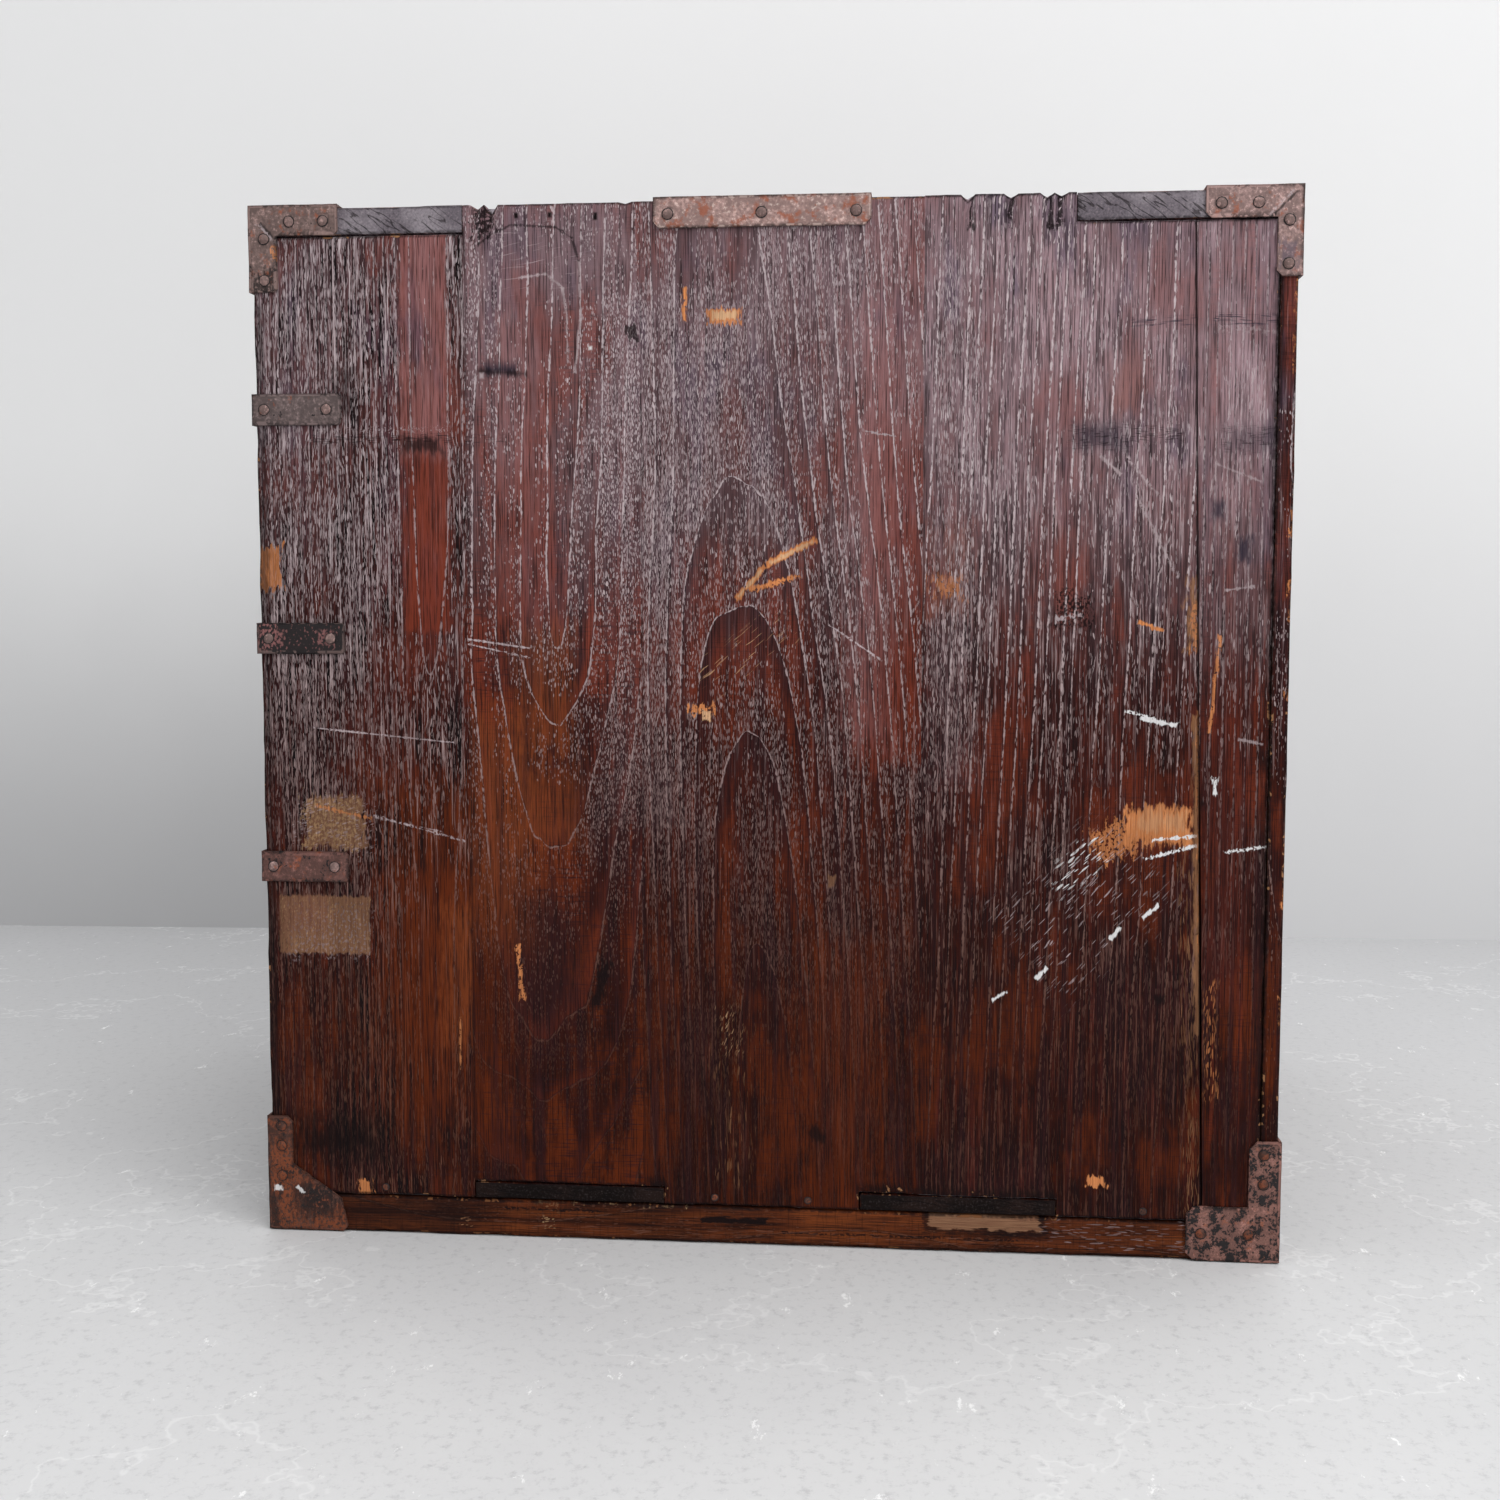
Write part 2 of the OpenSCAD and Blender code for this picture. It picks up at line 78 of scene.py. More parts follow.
# %% [markdown]
# ## Wiring shader nodes in millimetres
# A procedural finish is a small machine of nodes. Wiring each one by hand takes many lines, so a short
# helper adds a node, fills its sockets, and hands back its output. The same helper works in a material
# and in a node group, and everything on the chest is measured in millimetres.

# %% A helper that adds and feeds nodes
def paint(red, green, blue):
    """A colour as it looks on a screen, 0 to 255, turned into the linear colour that a shader wants."""
    def linear(level):
        level = level / 255
        return level / 12.92 if level <= 0.04045 else ((level + 0.055) / 1.055) ** 2.4
    return (linear(red), linear(green), linear(blue), 1.0)


class Wiring:
    """Adds nodes to one tree and feeds their sockets with numbers, colours or other sockets."""

    def __init__(self, tree):
        self.tree = tree

    def feed(self, socket, value):
        if isinstance(value, bpy.types.NodeSocket):
            self.tree.links.new(value, socket)
        else:
            socket.default_value = value

    def add(self, kind, sockets=None, **settings):
        node = self.tree.nodes.new(kind)
        for name, value in settings.items():
            setattr(node, name, value)
        for name, value in (sockets or {}).items():
            self.feed(node.inputs[name], value)
        return node

    def math(self, operation, *terms, kind="ShaderNodeMath"):
        node = self.add(kind, operation=operation)
        for socket, term in zip(node.inputs, terms):
            self.feed(socket, term)
        return node.outputs[0]

    def times(self, one, other):
        return self.math("MULTIPLY", one, other)

    def plus(self, one, other):
        return self.math("ADD", one, other)

    def minus(self, one, other):
        return self.math("SUBTRACT", one, other)

    def times_plus(self, one, other, more):
        """One times other, plus more."""
        return self.math("MULTIPLY_ADD", one, other, more)

    def vector(self, operation, *terms):
        return self.math(operation, *terms, kind="ShaderNodeVectorMath")

    def join(self, x, y, z=0.0):
        return self.add("ShaderNodeCombineXYZ", {"X": x, "Y": y, "Z": z}).outputs[0]

    def split(self, vector):
        return self.add("ShaderNodeSeparateXYZ", {"Vector": vector}).outputs

    def place(self):
        """The place on the object, in metres. It stays put when a drawer slides out."""
        return self.add("ShaderNodeTexCoord").outputs["Object"]

    def place_in_mm(self):
        """The same place in millimetres, with y measured from the front edge."""
        return self.vector("MULTIPLY", self.vector("SUBTRACT", self.place(), (0.0, FRONT_Y, 0.0)), IN_MM)

    def turn(self, vector, degrees, axis):
        """The vector turned about an axis that is named like Z_AXIS."""
        sockets = {"Vector": vector, "Angle": math.radians(degrees)}
        return self.add("ShaderNodeVectorRotate", sockets, rotation_type=axis).outputs[0]

    def mix(self, share, under, over):
        node = self.add("ShaderNodeMix", data_type="RGBA")
        for index, value in zip((0, 6, 7), (share, under, over)):
            self.feed(node.inputs[index], value)
        return node.outputs[2]

    def tint(self, base, tone, field, start, end, share):
        """Lays a share of a tone over the base, fading in while the field goes from start to end."""
        return self.mix(self.step(field, start, end, 0.0, share), base, tone)

    def step(self, value, start, end, low=0.0, high=1.0):
        """A smooth step from low to high, while value goes from start to end."""
        node = self.add("ShaderNodeMapRange", interpolation_type="SMOOTHSTEP")
        for index, number in enumerate((value, start, end, low, high)):
            self.feed(node.inputs[index], number)
        return node.outputs[0]

    def noise(self, point, scale=1.0, detail=2.0, roughness=0.5, flat=False):
        sockets = {"Vector": point, "Scale": scale, "Detail": detail, "Roughness": roughness}
        kind = "2D" if flat else "3D"
        return self.add("ShaderNodeTexNoise", sockets, noise_dimensions=kind).outputs["Fac"]

    def ramp(self, value, stops):
        """A colour ramp; stops are pairs of a place from 0 to 1 and a colour."""
        node = self.add("ShaderNodeValToRGB", {"Fac": value})
        while len(node.color_ramp.elements) < len(stops):
            node.color_ramp.elements.new(0.5)
        for element, (place, colour) in zip(node.color_ramp.elements, stops):
            element.position = place
            element.color = colour
        return node.outputs["Color"]

    def curve(self, value, points):
        """A smooth curve through points, from 0 to 1 both ways."""
        node = self.add("ShaderNodeFloatCurve", {"Value": value})
        line = node.mapping.curves[0]
        while len(line.points) < len(points):
            line.points.new(0.5, 0.5)
        for point, place in zip(line.points, points):
            point.location = place
            point.handle_type = "AUTO_CLAMPED"
        node.mapping.update()
        return node.outputs[0]

    def dress(self, shader, colour, roughness, specular, height, strength=0.8, depth=0.5 * MM):
        """Feeds the shader its colour and sheen, and dents the surface by a height."""
        relief = self.add("ShaderNodeBump", {"Strength": strength, "Distance": depth, "Height": height})
        sockets = {"Base Color": colour, "Roughness": roughness, "Specular IOR Level": specular,
                   "Normal": relief.outputs[0]}
        for name, value in sockets.items():
            self.feed(shader.inputs[name], value)

    def use(self, name, **sockets):
        """Places a node group; a socket called Half_size is written half_size here."""
        node = self.add("ShaderNodeGroup", node_tree=bpy.data.node_groups[name])
        for label, value in sockets.items():
            self.feed(node.inputs[label.replace("_", " ").capitalize()], value)
        return node.outputs


def new_group(name, inputs, outputs):
    """An empty node group. Gives its wiring, the outputs of its entry, and the sockets of its results."""
    tree = bpy.data.node_groups.new(name, "ShaderNodeTree")
    for label, value in inputs.items():
        kind = "NodeSocketVector" if isinstance(value, tuple) else "NodeSocketFloat"
        socket = tree.interface.new_socket(label, in_out="INPUT", socket_type=kind)
        socket.default_value = value
    for label, kind in outputs.items():
        tree.interface.new_socket(label, in_out="OUTPUT", socket_type="NodeSocket" + kind)
    entry = tree.nodes.new("NodeGroupInput")
    result = tree.nodes.new("NodeGroupOutput")
    return Wiring(tree), list(entry.outputs)[:len(inputs)], result.inputs


def new_material(name):
    """A material with a plain Principled shader. Gives the material, its wiring and the shader."""
    material = bpy.data.materials.new(name)
    material.use_nodes = True
    return material, Wiring(material.node_tree), material.node_tree.nodes["Principled BSDF"]


# %% [markdown]
# ## Pores: the pale dashes in the wood
# The open pores of this wood have filled with pale dust, so the dark planks are full of short white
# dashes that run along the grain. Painting thousands of dashes by hand is hopeless, but a Voronoi
# texture already scatters one point per cell. Squeezing its space across the grain turns each point
# into a dash, and the random colour of each cell decides which pores are open.

# %% The pores group
wires, (across, along, density, width, length), result = new_group(
    "Pores", {"Across": 0.0, "Along": 0.0, "Density": 0.5, "Width": 0.9, "Length": 4.5}, {"Mask": "Float"}
)
sway = wires.noise(wires.join(across, wires.times(along, 0.25)), 0.2, flat=True)
swayed = wires.plus(across, wires.times(sway, 3.0))
layers = []
for size, offset, softness in ((1.0, 0.0, 0.07), (0.62, 37.0, 0.09)):
    cell = wires.join(
        wires.plus(wires.math("DIVIDE", swayed, wires.times(width, size)), offset),
        wires.math("DIVIDE", along, wires.times(length, size)),
    )
    scatter = wires.add("ShaderNodeTexVoronoi", {"Vector": cell, "Scale": 1.0}, voronoi_dimensions="2D")
    parts = wires.add("ShaderNodeSeparateColor", {"Color": scatter.outputs["Color"]}).outputs
    open_pore = wires.math("LESS_THAN", parts[0], density)
    radius = wires.times_plus(parts[1], 0.16, 0.14)
    dash = wires.step(scatter.outputs["Distance"], radius, wires.plus(radius, softness), 1.0, 0.0)
    bright = wires.times_plus(parts[2], 0.6, 0.4)
    layers.append(wires.times(wires.times(dash, open_pore), bright))
wires.feed(result["Mask"], wires.math("MAXIMUM", *layers))
print("pores group:", len(wires.tree.nodes), "nodes")

# %% [markdown]
# ## Rings: the arches of a flat-sawn plank
# Where a saw cuts a trunk off its centre, the year rings show as nested arches. Each plank gets a number
# that grows from ring to ring, so a ring line lies wherever that number is whole. Far from the tip the
# number depends only on the distance from the arch's centre, near the tip only on the height, and a
# rounded maximum of the two joins both into an arch. Two curves per plank hold where its lines run.

# %% The ring number of one plank
RING_LIMIT = 24.0  # a curve goes from 0 to 1, so rings and millimetres are divided by these
ACROSS_LIMIT = 240.0
ALONG_LIMIT = 1200.0
BELOW_FLOOR = 300.0  # the curve of the tips starts this far under the floor


def ring_group(name, centre, lean, sides, tips, power=2.0, wander=0.3):
    """sides: how far each ring line runs from the centre. tips: (height, ring) pairs along the plank.
    A higher power makes blunter arches."""
    wires, (across, along), result = new_group(name, {"Across": 0.0, "Along": 0.0}, {"Ring": "Float"})
    middle = wires.times_plus(along, lean, centre)
    away = wires.math("ABSOLUTE", wires.minus(across, middle))
    steps = [(0.0, 0.0)] + [(side / ACROSS_LIMIT, (n + 1) / RING_LIMIT) for n, side in enumerate(sides)]
    side_ring = wires.curve(wires.math("DIVIDE", away, ACROSS_LIMIT), steps)
    heights = [((z + BELOW_FLOOR) / ALONG_LIMIT, ring / RING_LIMIT) for z, ring in sorted(tips)]
    shifted = wires.math("DIVIDE", wires.plus(along, BELOW_FLOOR), ALONG_LIMIT)
    tip_ring = wires.curve(shifted, heights)
    total = wires.plus(wires.math("POWER", side_ring, power), wires.math("POWER", tip_ring, power))
    ring = wires.times(wires.math("POWER", total, 1 / power), RING_LIMIT)
    spot = wires.join(across, wires.times(along, 0.22))
    wobble = wires.minus(wires.noise(spot, 0.04, 2.0, flat=True), 0.5)
    wires.feed(result["Ring"], wires.times_plus(wobble, wander, ring))


# %% [markdown]
# The boards that the photograph doesn't show need no measured arches. A slow noise, stretched along the
# grain, is like the map of a hilly field, and its contour lines are rings that curl and close by chance.

# %% Ring numbers by chance
def chance_rings(name, pitch, hills, stretch=0.2):
    """pitch: mm between rings where the field is even. hills: how many rings the noise adds."""
    wires, (across, along), result = new_group(name, {"Across": 0.0, "Along": 0.0}, {"Ring": "Float"})
    stretched = wires.join(across, wires.times(along, stretch))
    field = wires.noise(stretched, 0.011, 1.0, 0.4, flat=True)
    even = wires.math("DIVIDE", wires.plus(across, 900.0), pitch)
    wires.feed(result["Ring"], wires.times_plus(field, hills, even))


# %% [markdown]
# The ring number becomes visible through four masks: the dotted pale line of large early pores, a fine
# dark groove beside it, how open the wood is just after the line, and the smooth late wood before the
# next one. The slope of the number tells how many millimetres away the line is, which keeps every line
# equally thin whether its rings are wide or narrow.

# %% The ring lines group
wires, (ring, beside, above, across, along), result = new_group(
    "Ring lines",
    {"Ring": 0.0, "Beside": 0.0, "Above": 0.0, "Across": 0.0, "Along": 0.0},
    {"Line": "Float", "Groove": "Float", "Open": "Float", "Smooth": "Float"},
)
run = wires.minus(beside, ring)
rise = wires.minus(above, ring)
steep = wires.math("SQRT", wires.plus(wires.math("POWER", run, 2.0), wires.math("POWER", rise, 2.0)))
steep = wires.math("MAXIMUM", steep, 0.003)
phase = wires.math("FRACT", ring)
before = wires.math("DIVIDE", wires.minus(1.0, phase), steep)
after = wires.math("DIVIDE", phase, steep)
spot = wires.join(across, wires.times(along, 0.5))
jitter = wires.times(wires.minus(wires.noise(spot, 0.6, 2.0, flat=True), 0.5), 1.3)
near = wires.math("ABSOLUTE", wires.plus(wires.math("MINIMUM", before, after), jitter))
thick = wires.step(wires.noise(spot, 0.11, 3.0, 0.6, flat=True), 0.36, 0.64, 0.45, 1.45)
line = wires.step(wires.math("DIVIDE", near, thick), 0.3, 0.7, 1.0, 0.0)
beads = wires.noise(wires.join(wires.times(across, 0.8), wires.times(along, 0.3)), 1.0, 1.0, flat=True)
wires.feed(result["Line"], wires.times(line, wires.step(beads, 0.32, 0.5)))
wires.feed(result["Groove"], wires.step(before, 0.5, 1.8, 1.0, 0.0))
wires.feed(result["Open"], wires.step(phase, 0.25, 0.92, 1.0, 0.0))
wires.feed(result["Smooth"], wires.step(phase, 0.68, 0.97))
print("ring lines group:", len(wires.tree.nodes), "nodes")

# %% [markdown]
# ## Marks: chips, labels, stains and scratches
# A hundred years of use left single marks: bare chips, spots of white paint, the ghost of a label. Each is
# a soft rectangle at a measured place on the plank, turned to its own angle, with a frayed edge. A thin
# long one is a scratch, and breaking it up with noise gives the skips of a dragged nail.

# %% The mark group
wires, (point, place, half_size, turn, fray, soft, broken), result = new_group(
    "Mark",
    {"Point": (0.0, 0.0, 0.0), "Place": (0.0, 0.0, 0.0), "Half size": (10.0, 10.0, 0.0),
     "Turn": 0.0, "Fray": 2.0, "Soft": 1.0, "Broken": 0.0},
    {"Mask": "Float"},
)
local = wires.vector("SUBTRACT", point, place)
turned = wires.add("ShaderNodeVectorRotate", {"Vector": local}, rotation_type="Z_AXIS")
wires.feed(turned.inputs["Angle"], wires.times(turn, -1.0))
outside = wires.vector("SUBTRACT", wires.vector("ABSOLUTE", turned.outputs[0]), half_size)
parts = wires.split(outside)
edge = wires.math("MAXIMUM", parts[0], parts[1])
fibres = wires.noise(wires.vector("MULTIPLY", point, (0.5, 0.12, 1.0)), 1.0, 3.0, 0.6, flat=True)
reach = wires.times(fray, 2.6)
frayed = wires.times_plus(wires.minus(fibres, 0.5), reach, edge)
mask = wires.step(frayed, wires.times(soft, -1.0), soft, 1.0, 0.0)
skips = wires.noise(wires.vector("MULTIPLY", point, (0.9, 0.7, 1.0)), 0.8, 2.0, flat=True)
kept = wires.step(skips, wires.minus(broken, 0.04), wires.plus(broken, 0.04))
wires.feed(result["Mask"], wires.times(mask, kept))
print("mark group:", len(wires.tree.nodes), "nodes")

# %% [markdown]
# ## Edge wear
# Corners of an old chest are rubbed: the dark finish is gone in places and the orange wood shows, and
# grime gathers beside it. The modelled pieces carry a number called worn, 1 on their rounded edges and
# 0 on their flats. This group breaks it up with noise, so no edge is worn evenly.

# %% The edge wear group
wires, (point, amount), result = new_group(
    "Edge wear", {"Point": (0.0, 0.0, 0.0), "Amount": 0.5}, {"Bare": "Float", "Grime": "Float"}
)
worn = wires.add("ShaderNodeAttribute", attribute_name="worn").outputs["Fac"]
patches = wires.noise(point, 0.045, 3.0, 0.6)
chips = wires.noise(point, 0.35, 2.0)
ragged = wires.times_plus(wires.minus(chips, 0.5), 0.7, patches)
limit = wires.minus(1.0, amount)
rubbed = wires.step(ragged, limit, wires.plus(limit, 0.06))
wires.feed(result["Bare"], wires.times(wires.step(worn, 0.25, 0.6), rubbed))
wires.feed(result["Grime"], wires.times(wires.step(worn, 0.0, 0.8), wires.step(chips, 0.25, 0.6)))
print("edge wear group:", len(wires.tree.nodes), "nodes")

# %% [markdown]
# ## Rust
# The irons were blackened once. Now thin old rust covers them in pinkish brown, deeper rust glows orange,
# and flakes of the black coat remain. Three noises at different scales decide which of the three shows,
# and a fourth gives the pitted surface.

# %% The rust group
wires, (point, black, orange, grain), result = new_group(
    "Rust",
    {"Point": (0.0, 0.0, 0.0), "Black": 0.3, "Orange": 0.3, "Grain": (1.0, 1.0, 1.0)},
    {"Coat": "Float", "Glow": "Float", "Shade": "Float", "Height": "Float"},
)
spots = wires.vector("MULTIPLY", point, grain)
broad = wires.noise(spots, 0.11, 4.0, 0.65)
fine = wires.noise(spots, 0.55, 4.0, 0.7)
flakes = wires.times_plus(fine, 0.45, wires.times(broad, 0.55))
black_at = wires.times_plus(black, -0.34, 0.67)
coat = wires.step(flakes, black_at, wires.plus(black_at, 0.035))
wires.feed(result["Coat"], coat)
other = wires.noise(wires.vector("ADD", spots, (91.0, 17.0, 53.0)), 0.16, 5.0, 0.7)
orange_at = wires.times_plus(orange, -0.34, 0.67)
wires.feed(result["Glow"], wires.step(other, orange_at, wires.plus(orange_at, 0.12)))
wires.feed(result["Shade"], wires.step(fine, 0.3, 0.7))
wires.feed(result["Height"], wires.times_plus(coat, 0.5, fine))
print("rust group:", len(wires.tree.nodes), "nodes")


# %% [markdown]
# ## The wood of the chest
# One recipe serves every board: a base tone that darkens toward the floor, streaks along the grain, the
# rings, the pores, then the marks, and last the worn edges. A board differs only in which way its grain
# runs, where its rings lie, and its own tones. The features that only some planks have, such as a red
# strip or a grey haze, are placed with the same mark group.

# %% Tones, from the photograph
TONES = {
    "dusk": paint(106, 76, 80),      # the purple grey of the upper planks
    "brick": paint(92, 40, 32),      # the plain red brown
    "plum": paint(50, 26, 28),
    "umber": paint(46, 17, 11),      # the lower planks
    "ember": paint(128, 55, 36),     # orange red strips
    "rose": paint(150, 100, 98),     # the same finish, faded
    "honey": paint(134, 68, 36),     # the finish worn thin and polished
    "amber": paint(104, 44, 17),     # the warm area low at the front
    "dust": paint(208, 191, 194),    # filled pores, high up
    "silt": paint(126, 86, 70),      # filled pores, near the floor
    "soot": paint(24, 17, 18),
    "bare": paint(232, 150, 94),     # fresh wood where the finish is gone
    "chip": paint(238, 190, 146),    # its pale core in the deepest chips
    "straw": paint(146, 108, 82),    # paper and glue of the old labels
    "chalk": paint(232, 230, 230),   # white paint
    "ink": paint(44, 42, 56),
    "haze": paint(96, 80, 86),
    # a grey sheen painted into the colour: the reflection of the window light on the upper third
    "slate": paint(86, 78, 98),      # blue grey bloom on the finish
    "veil": paint(178, 150, 157),    # the grey sheen of the upper third
    "pale": paint(196, 160, 118),    # unfinished drawer wood
    "tan": paint(158, 114, 80),
}
print("tones:", len(TONES))


# %% Places and noises that all layers of a board share
def read_board(wires, along, rings, turned):
    """Places on the board in mm, its noises and the masks of its rings. turned: it lies parallel to x."""
    point = wires.place_in_mm()
    x, y, z = wires.split(point)
    if along == "X":
        across, run = wires.plus(y, z), x
    elif along == "Y":
        across, run = wires.plus(x, z), y
    elif turned:
        across, run = wires.plus(x, y), z
    else:
        across, run = wires.plus(y, wires.minus(wires.math("ABSOLUTE", x), SIDE_X / MM)), z
    board = SimpleNamespace(point=point, level=z, across=across, run=run, flat=wires.join(across, run))
    for name, scale, detail in (
        ("clouds", (0.035, 0.01), 4), ("patches", (0.028, 0.011), 5), ("streaks", (0.22, 0.008), 5),
        ("slits", (0.75, 0.02), 4), ("fibre", (1.6, 0.035), 3), ("fleck", (0.06, 0.9), 3),
    ):
        moved = wires.vector("ADD", board.flat, (71.0 * detail, 13.0, 0.0))
        stretched = wires.vector("MULTIPLY", moved, (*scale, 1.0))
        setattr(board, name, wires.noise(stretched, 1.0, detail, 0.62, flat=True))
    board.rings = ring_masks(wires, board, rings)
    return board


def ring_masks(wires, board, rings):
    """The ring number here and a little to two sides, turned into the masks of the ring lines group."""
    numbers = []
    for right, up in ((0.0, 0.0), (0.7, 0.0), (0.0, 0.7)):
        across = wires.plus(board.across, right)
        along = wires.plus(board.run, up)
        numbers.append(wires.use(rings, across=across, along=along)["Ring"])
    return wires.use("Ring lines", ring=numbers[0], beside=numbers[1], above=numbers[2],
                     across=board.across, along=board.run)


def mark_mask(wires, flat, y, z, half_y, half_z, turn=0, soft=0.5, fray=2, broken=0, strength=1,
              dash=None):
    """The mask of one placed mark, in mm and degrees. dash: angle, density, width and length of streaks."""
    mask = wires.use("Mark", point=flat, place=(y, z, 0.0), half_size=(half_y, half_z, 0.0),
                     turn=math.radians(turn), fray=fray, soft=soft, broken=broken)["Mask"]
    if dash:
        angle, density, width, length = dash
        across, along, _ = wires.split(wires.turn(flat, 90 - angle, "Z_AXIS"))
        mask = wires.times(mask, wires.use("Pores", across=across, along=along, density=density,
                                           width=width, length=length)["Mask"])
    return wires.times(mask, strength)


# %% The layers of the wood, from the ground tone up
def dust_tone(wires, board):
    """Dust is pale high up and brown near the floor, where the finish was waxed over it."""
    return wires.mix(wires.step(board.level, 90.0, 430.0), TONES["silt"], TONES["dust"])


def ground_tones(wires, board, look):
    """The finish itself: darker toward the floor, clouded, with warm and deep patches and long streaks."""
    shift = wires.times(wires.minus(board.clouds, 0.5), 0.7)
    base = wires.ramp(wires.times_plus(board.level, 1 / CHEST_HEIGHT, shift), look.tones)
    glow = wires.mix(wires.step(board.level, 120.0, 330.0), look.low_glow, look.glow)
    base = wires.tint(base, glow, board.patches, 0.5, 0.64, look.warm)
    base = wires.tint(base, look.dark, board.patches, 0.48, 0.36, look.deep)
    base = wires.tint(base, look.streak or glow, board.streaks, 0.5, 0.7, 0.5)
    base = wires.tint(base, look.dark, board.streaks, 0.5, 0.34, 0.7)
    return wires.tint(base, look.dark, board.fleck, 0.5, 0.72, look.fleck)


def lay_rings(wires, board, look, base):
    """Late wood before each ring line and the dark groove beside it."""
    late = wires.mix(wires.step(board.clouds, 0.35, 0.65, 0.75, 0.0), look.late, look.dark)
    late = wires.mix(wires.step(board.level, 60.0, 240.0, 0.75, 0.0), late, base)
    base = wires.mix(wires.times(board.rings["Smooth"], look.smooth), base, late)
    return wires.mix(wires.times(board.rings["Groove"], look.groove), base, look.dark)


def lay_features(wires, board, look, base):
    """Strips and stains that follow the grain. They also open or close the pores; gives that too."""
    more_pores = 0.0
    for tone, y, z, half_y, half_z, soft, fray, strength, pores in look.features:
        mask = mark_mask(wires, board.flat, y, z, half_y, half_z, 0, soft, fray, 0, strength)
        mask = wires.times(mask, wires.step(board.streaks, 0.25, 0.6, 0.45, 1.0))
        base = wires.mix(mask, base, TONES[tone])
        more_pores = wires.times_plus(mask, pores, more_pores)
    return base, more_pores


def lay_sheen_and_weather(wires, board, look, base, more_pores):
    """A painted grey sheen over the upper third, standing in for reflected window light, and, where the
    surface has weathered, fine dark and pale slits.
    """
    # Painted sheen: in patches over the upper third the colour turns toward a painted grey reflection; the
    # blue-grey bloom lies only inside it.
    high = wires.step(board.level, 270.0, 470.0)
    veil = wires.times(high, wires.step(board.patches, 0.35, 0.62, 1.0, 0.45))
    base = wires.mix(wires.times(veil, look.veil), base, TONES["veil"])
    bloom = wires.times(veil, wires.step(board.clouds, 0.52, 0.66, 0.0, look.bloom))
    base = wires.mix(bloom, base, TONES["slate"])
    base = wires.tint(base, TONES["soot"], board.fibre, 0.5, 0.36, look.fibre)
    weather = wires.times(wires.step(board.patches, 0.6, 0.42, 0.25, 1.0), look.weather)
    weather = wires.times(weather, wires.step(more_pores, -0.5, 0.0, 0.1, 1.0))
    base = wires.mix(wires.times(weather, wires.step(board.slits, 0.5, 0.42)), base, TONES["soot"])
    weather = wires.times(weather, wires.step(board.level, 60.0, 330.0, 0.6, 1.0))
    weather = wires.times(weather, wires.step(board.level, 370.0, 450.0, 1.0, look.top_slits))
    pale = wires.times(wires.step(board.slits, 0.56, 0.61, 0.0, 0.9), wires.step(board.fibre, 0.42, 0.56))
    return wires.mix(wires.times(weather, pale), base, dust_tone(wires, board))


def lay_dust(wires, board, look, base, more_pores):
    """Dust in the pores and along the ring lines: pale high up, faint and brown near the floor."""
    density = wires.times_plus(board.rings["Open"], look.open, look.closed)
    density = wires.plus(wires.plus(density, more_pores), wires.step(board.patches, 0.35, 0.65, 0.12, -0.2))
    dashes = wires.use("Pores", across=board.across, along=board.run, density=density,
                       width=look.pore_width, length=look.pore_length)["Mask"]
    strength = wires.step(board.level, 40.0, 320.0, look.dust_low, look.dust_high)
    dust = dust_tone(wires, board)
    base = wires.mix(wires.times(dashes, strength), base, dust)
    drawn = wires.times(board.rings["Line"], look.line)
    return wires.mix(wires.times(drawn, strength), base, dust), dashes


def lay_marks(wires, board, marks, base):
    """Single marks. The bigger ones vary inside, as the fibres keep some finish. Gives their mask too."""
    covered = 0.0
    for name, *numbers in marks:
        mask = mark_mask(wires, board.flat, *numbers)
        tone = TONES[name]
        if name not in ("chalk", "ink", "soot"):
            tone = wires.mix(wires.step(board.fibre, 0.35, 0.6, 0.35, 0.0), tone, TONES["brick"])
            tone = wires.mix(wires.step(board.clouds, 0.4, 0.6, 0.3, 0.0), tone, TONES["umber"])
        base = wires.mix(mask, base, tone)
        covered = wires.math("MAXIMUM", covered, mask)
    return base, covered


# %% The wood recipe
PLAIN_LOOK = dict(
    # tones of the ground, where streaks without their own take the glow, and how strong its patches are
    dark=TONES["plum"], glow=TONES["ember"], low_glow=TONES["amber"], streak=None,
    warm=0.6, deep=0.6, fleck=0.4,
    # late wood, groove and dust line of each ring, the painted grey sheen high up with its blue-grey bloom,
    # and the grey weathering
    smooth=0.5, groove=0.6, line=0.9, veil=0.0, bloom=0.5, fibre=0.7, weather=0.1, top_slits=1.0,
    # the share of open pores just after a ring line and elsewhere, their size, and their dust
    open=0.6, closed=0.08, pore_width=0.95, pore_length=4.2, dust_low=0.4, dust_high=0.92,
    # bare edges, sheen, and what only some boards have
    bare=TONES["tan"], worn=0.34, rough=0.44, specular=0.05, turned=False, features=(),
)


def wear_edges(wires, base, point, amount, grime):
    """Lays grime on the worn edges. Gives the new base and the mask of what is rubbed bare."""
    edge = wires.use("Edge wear", point=point, amount=amount)
    return wires.mix(wires.times(edge["Grime"], grime), base, TONES["soot"]), edge["Bare"]


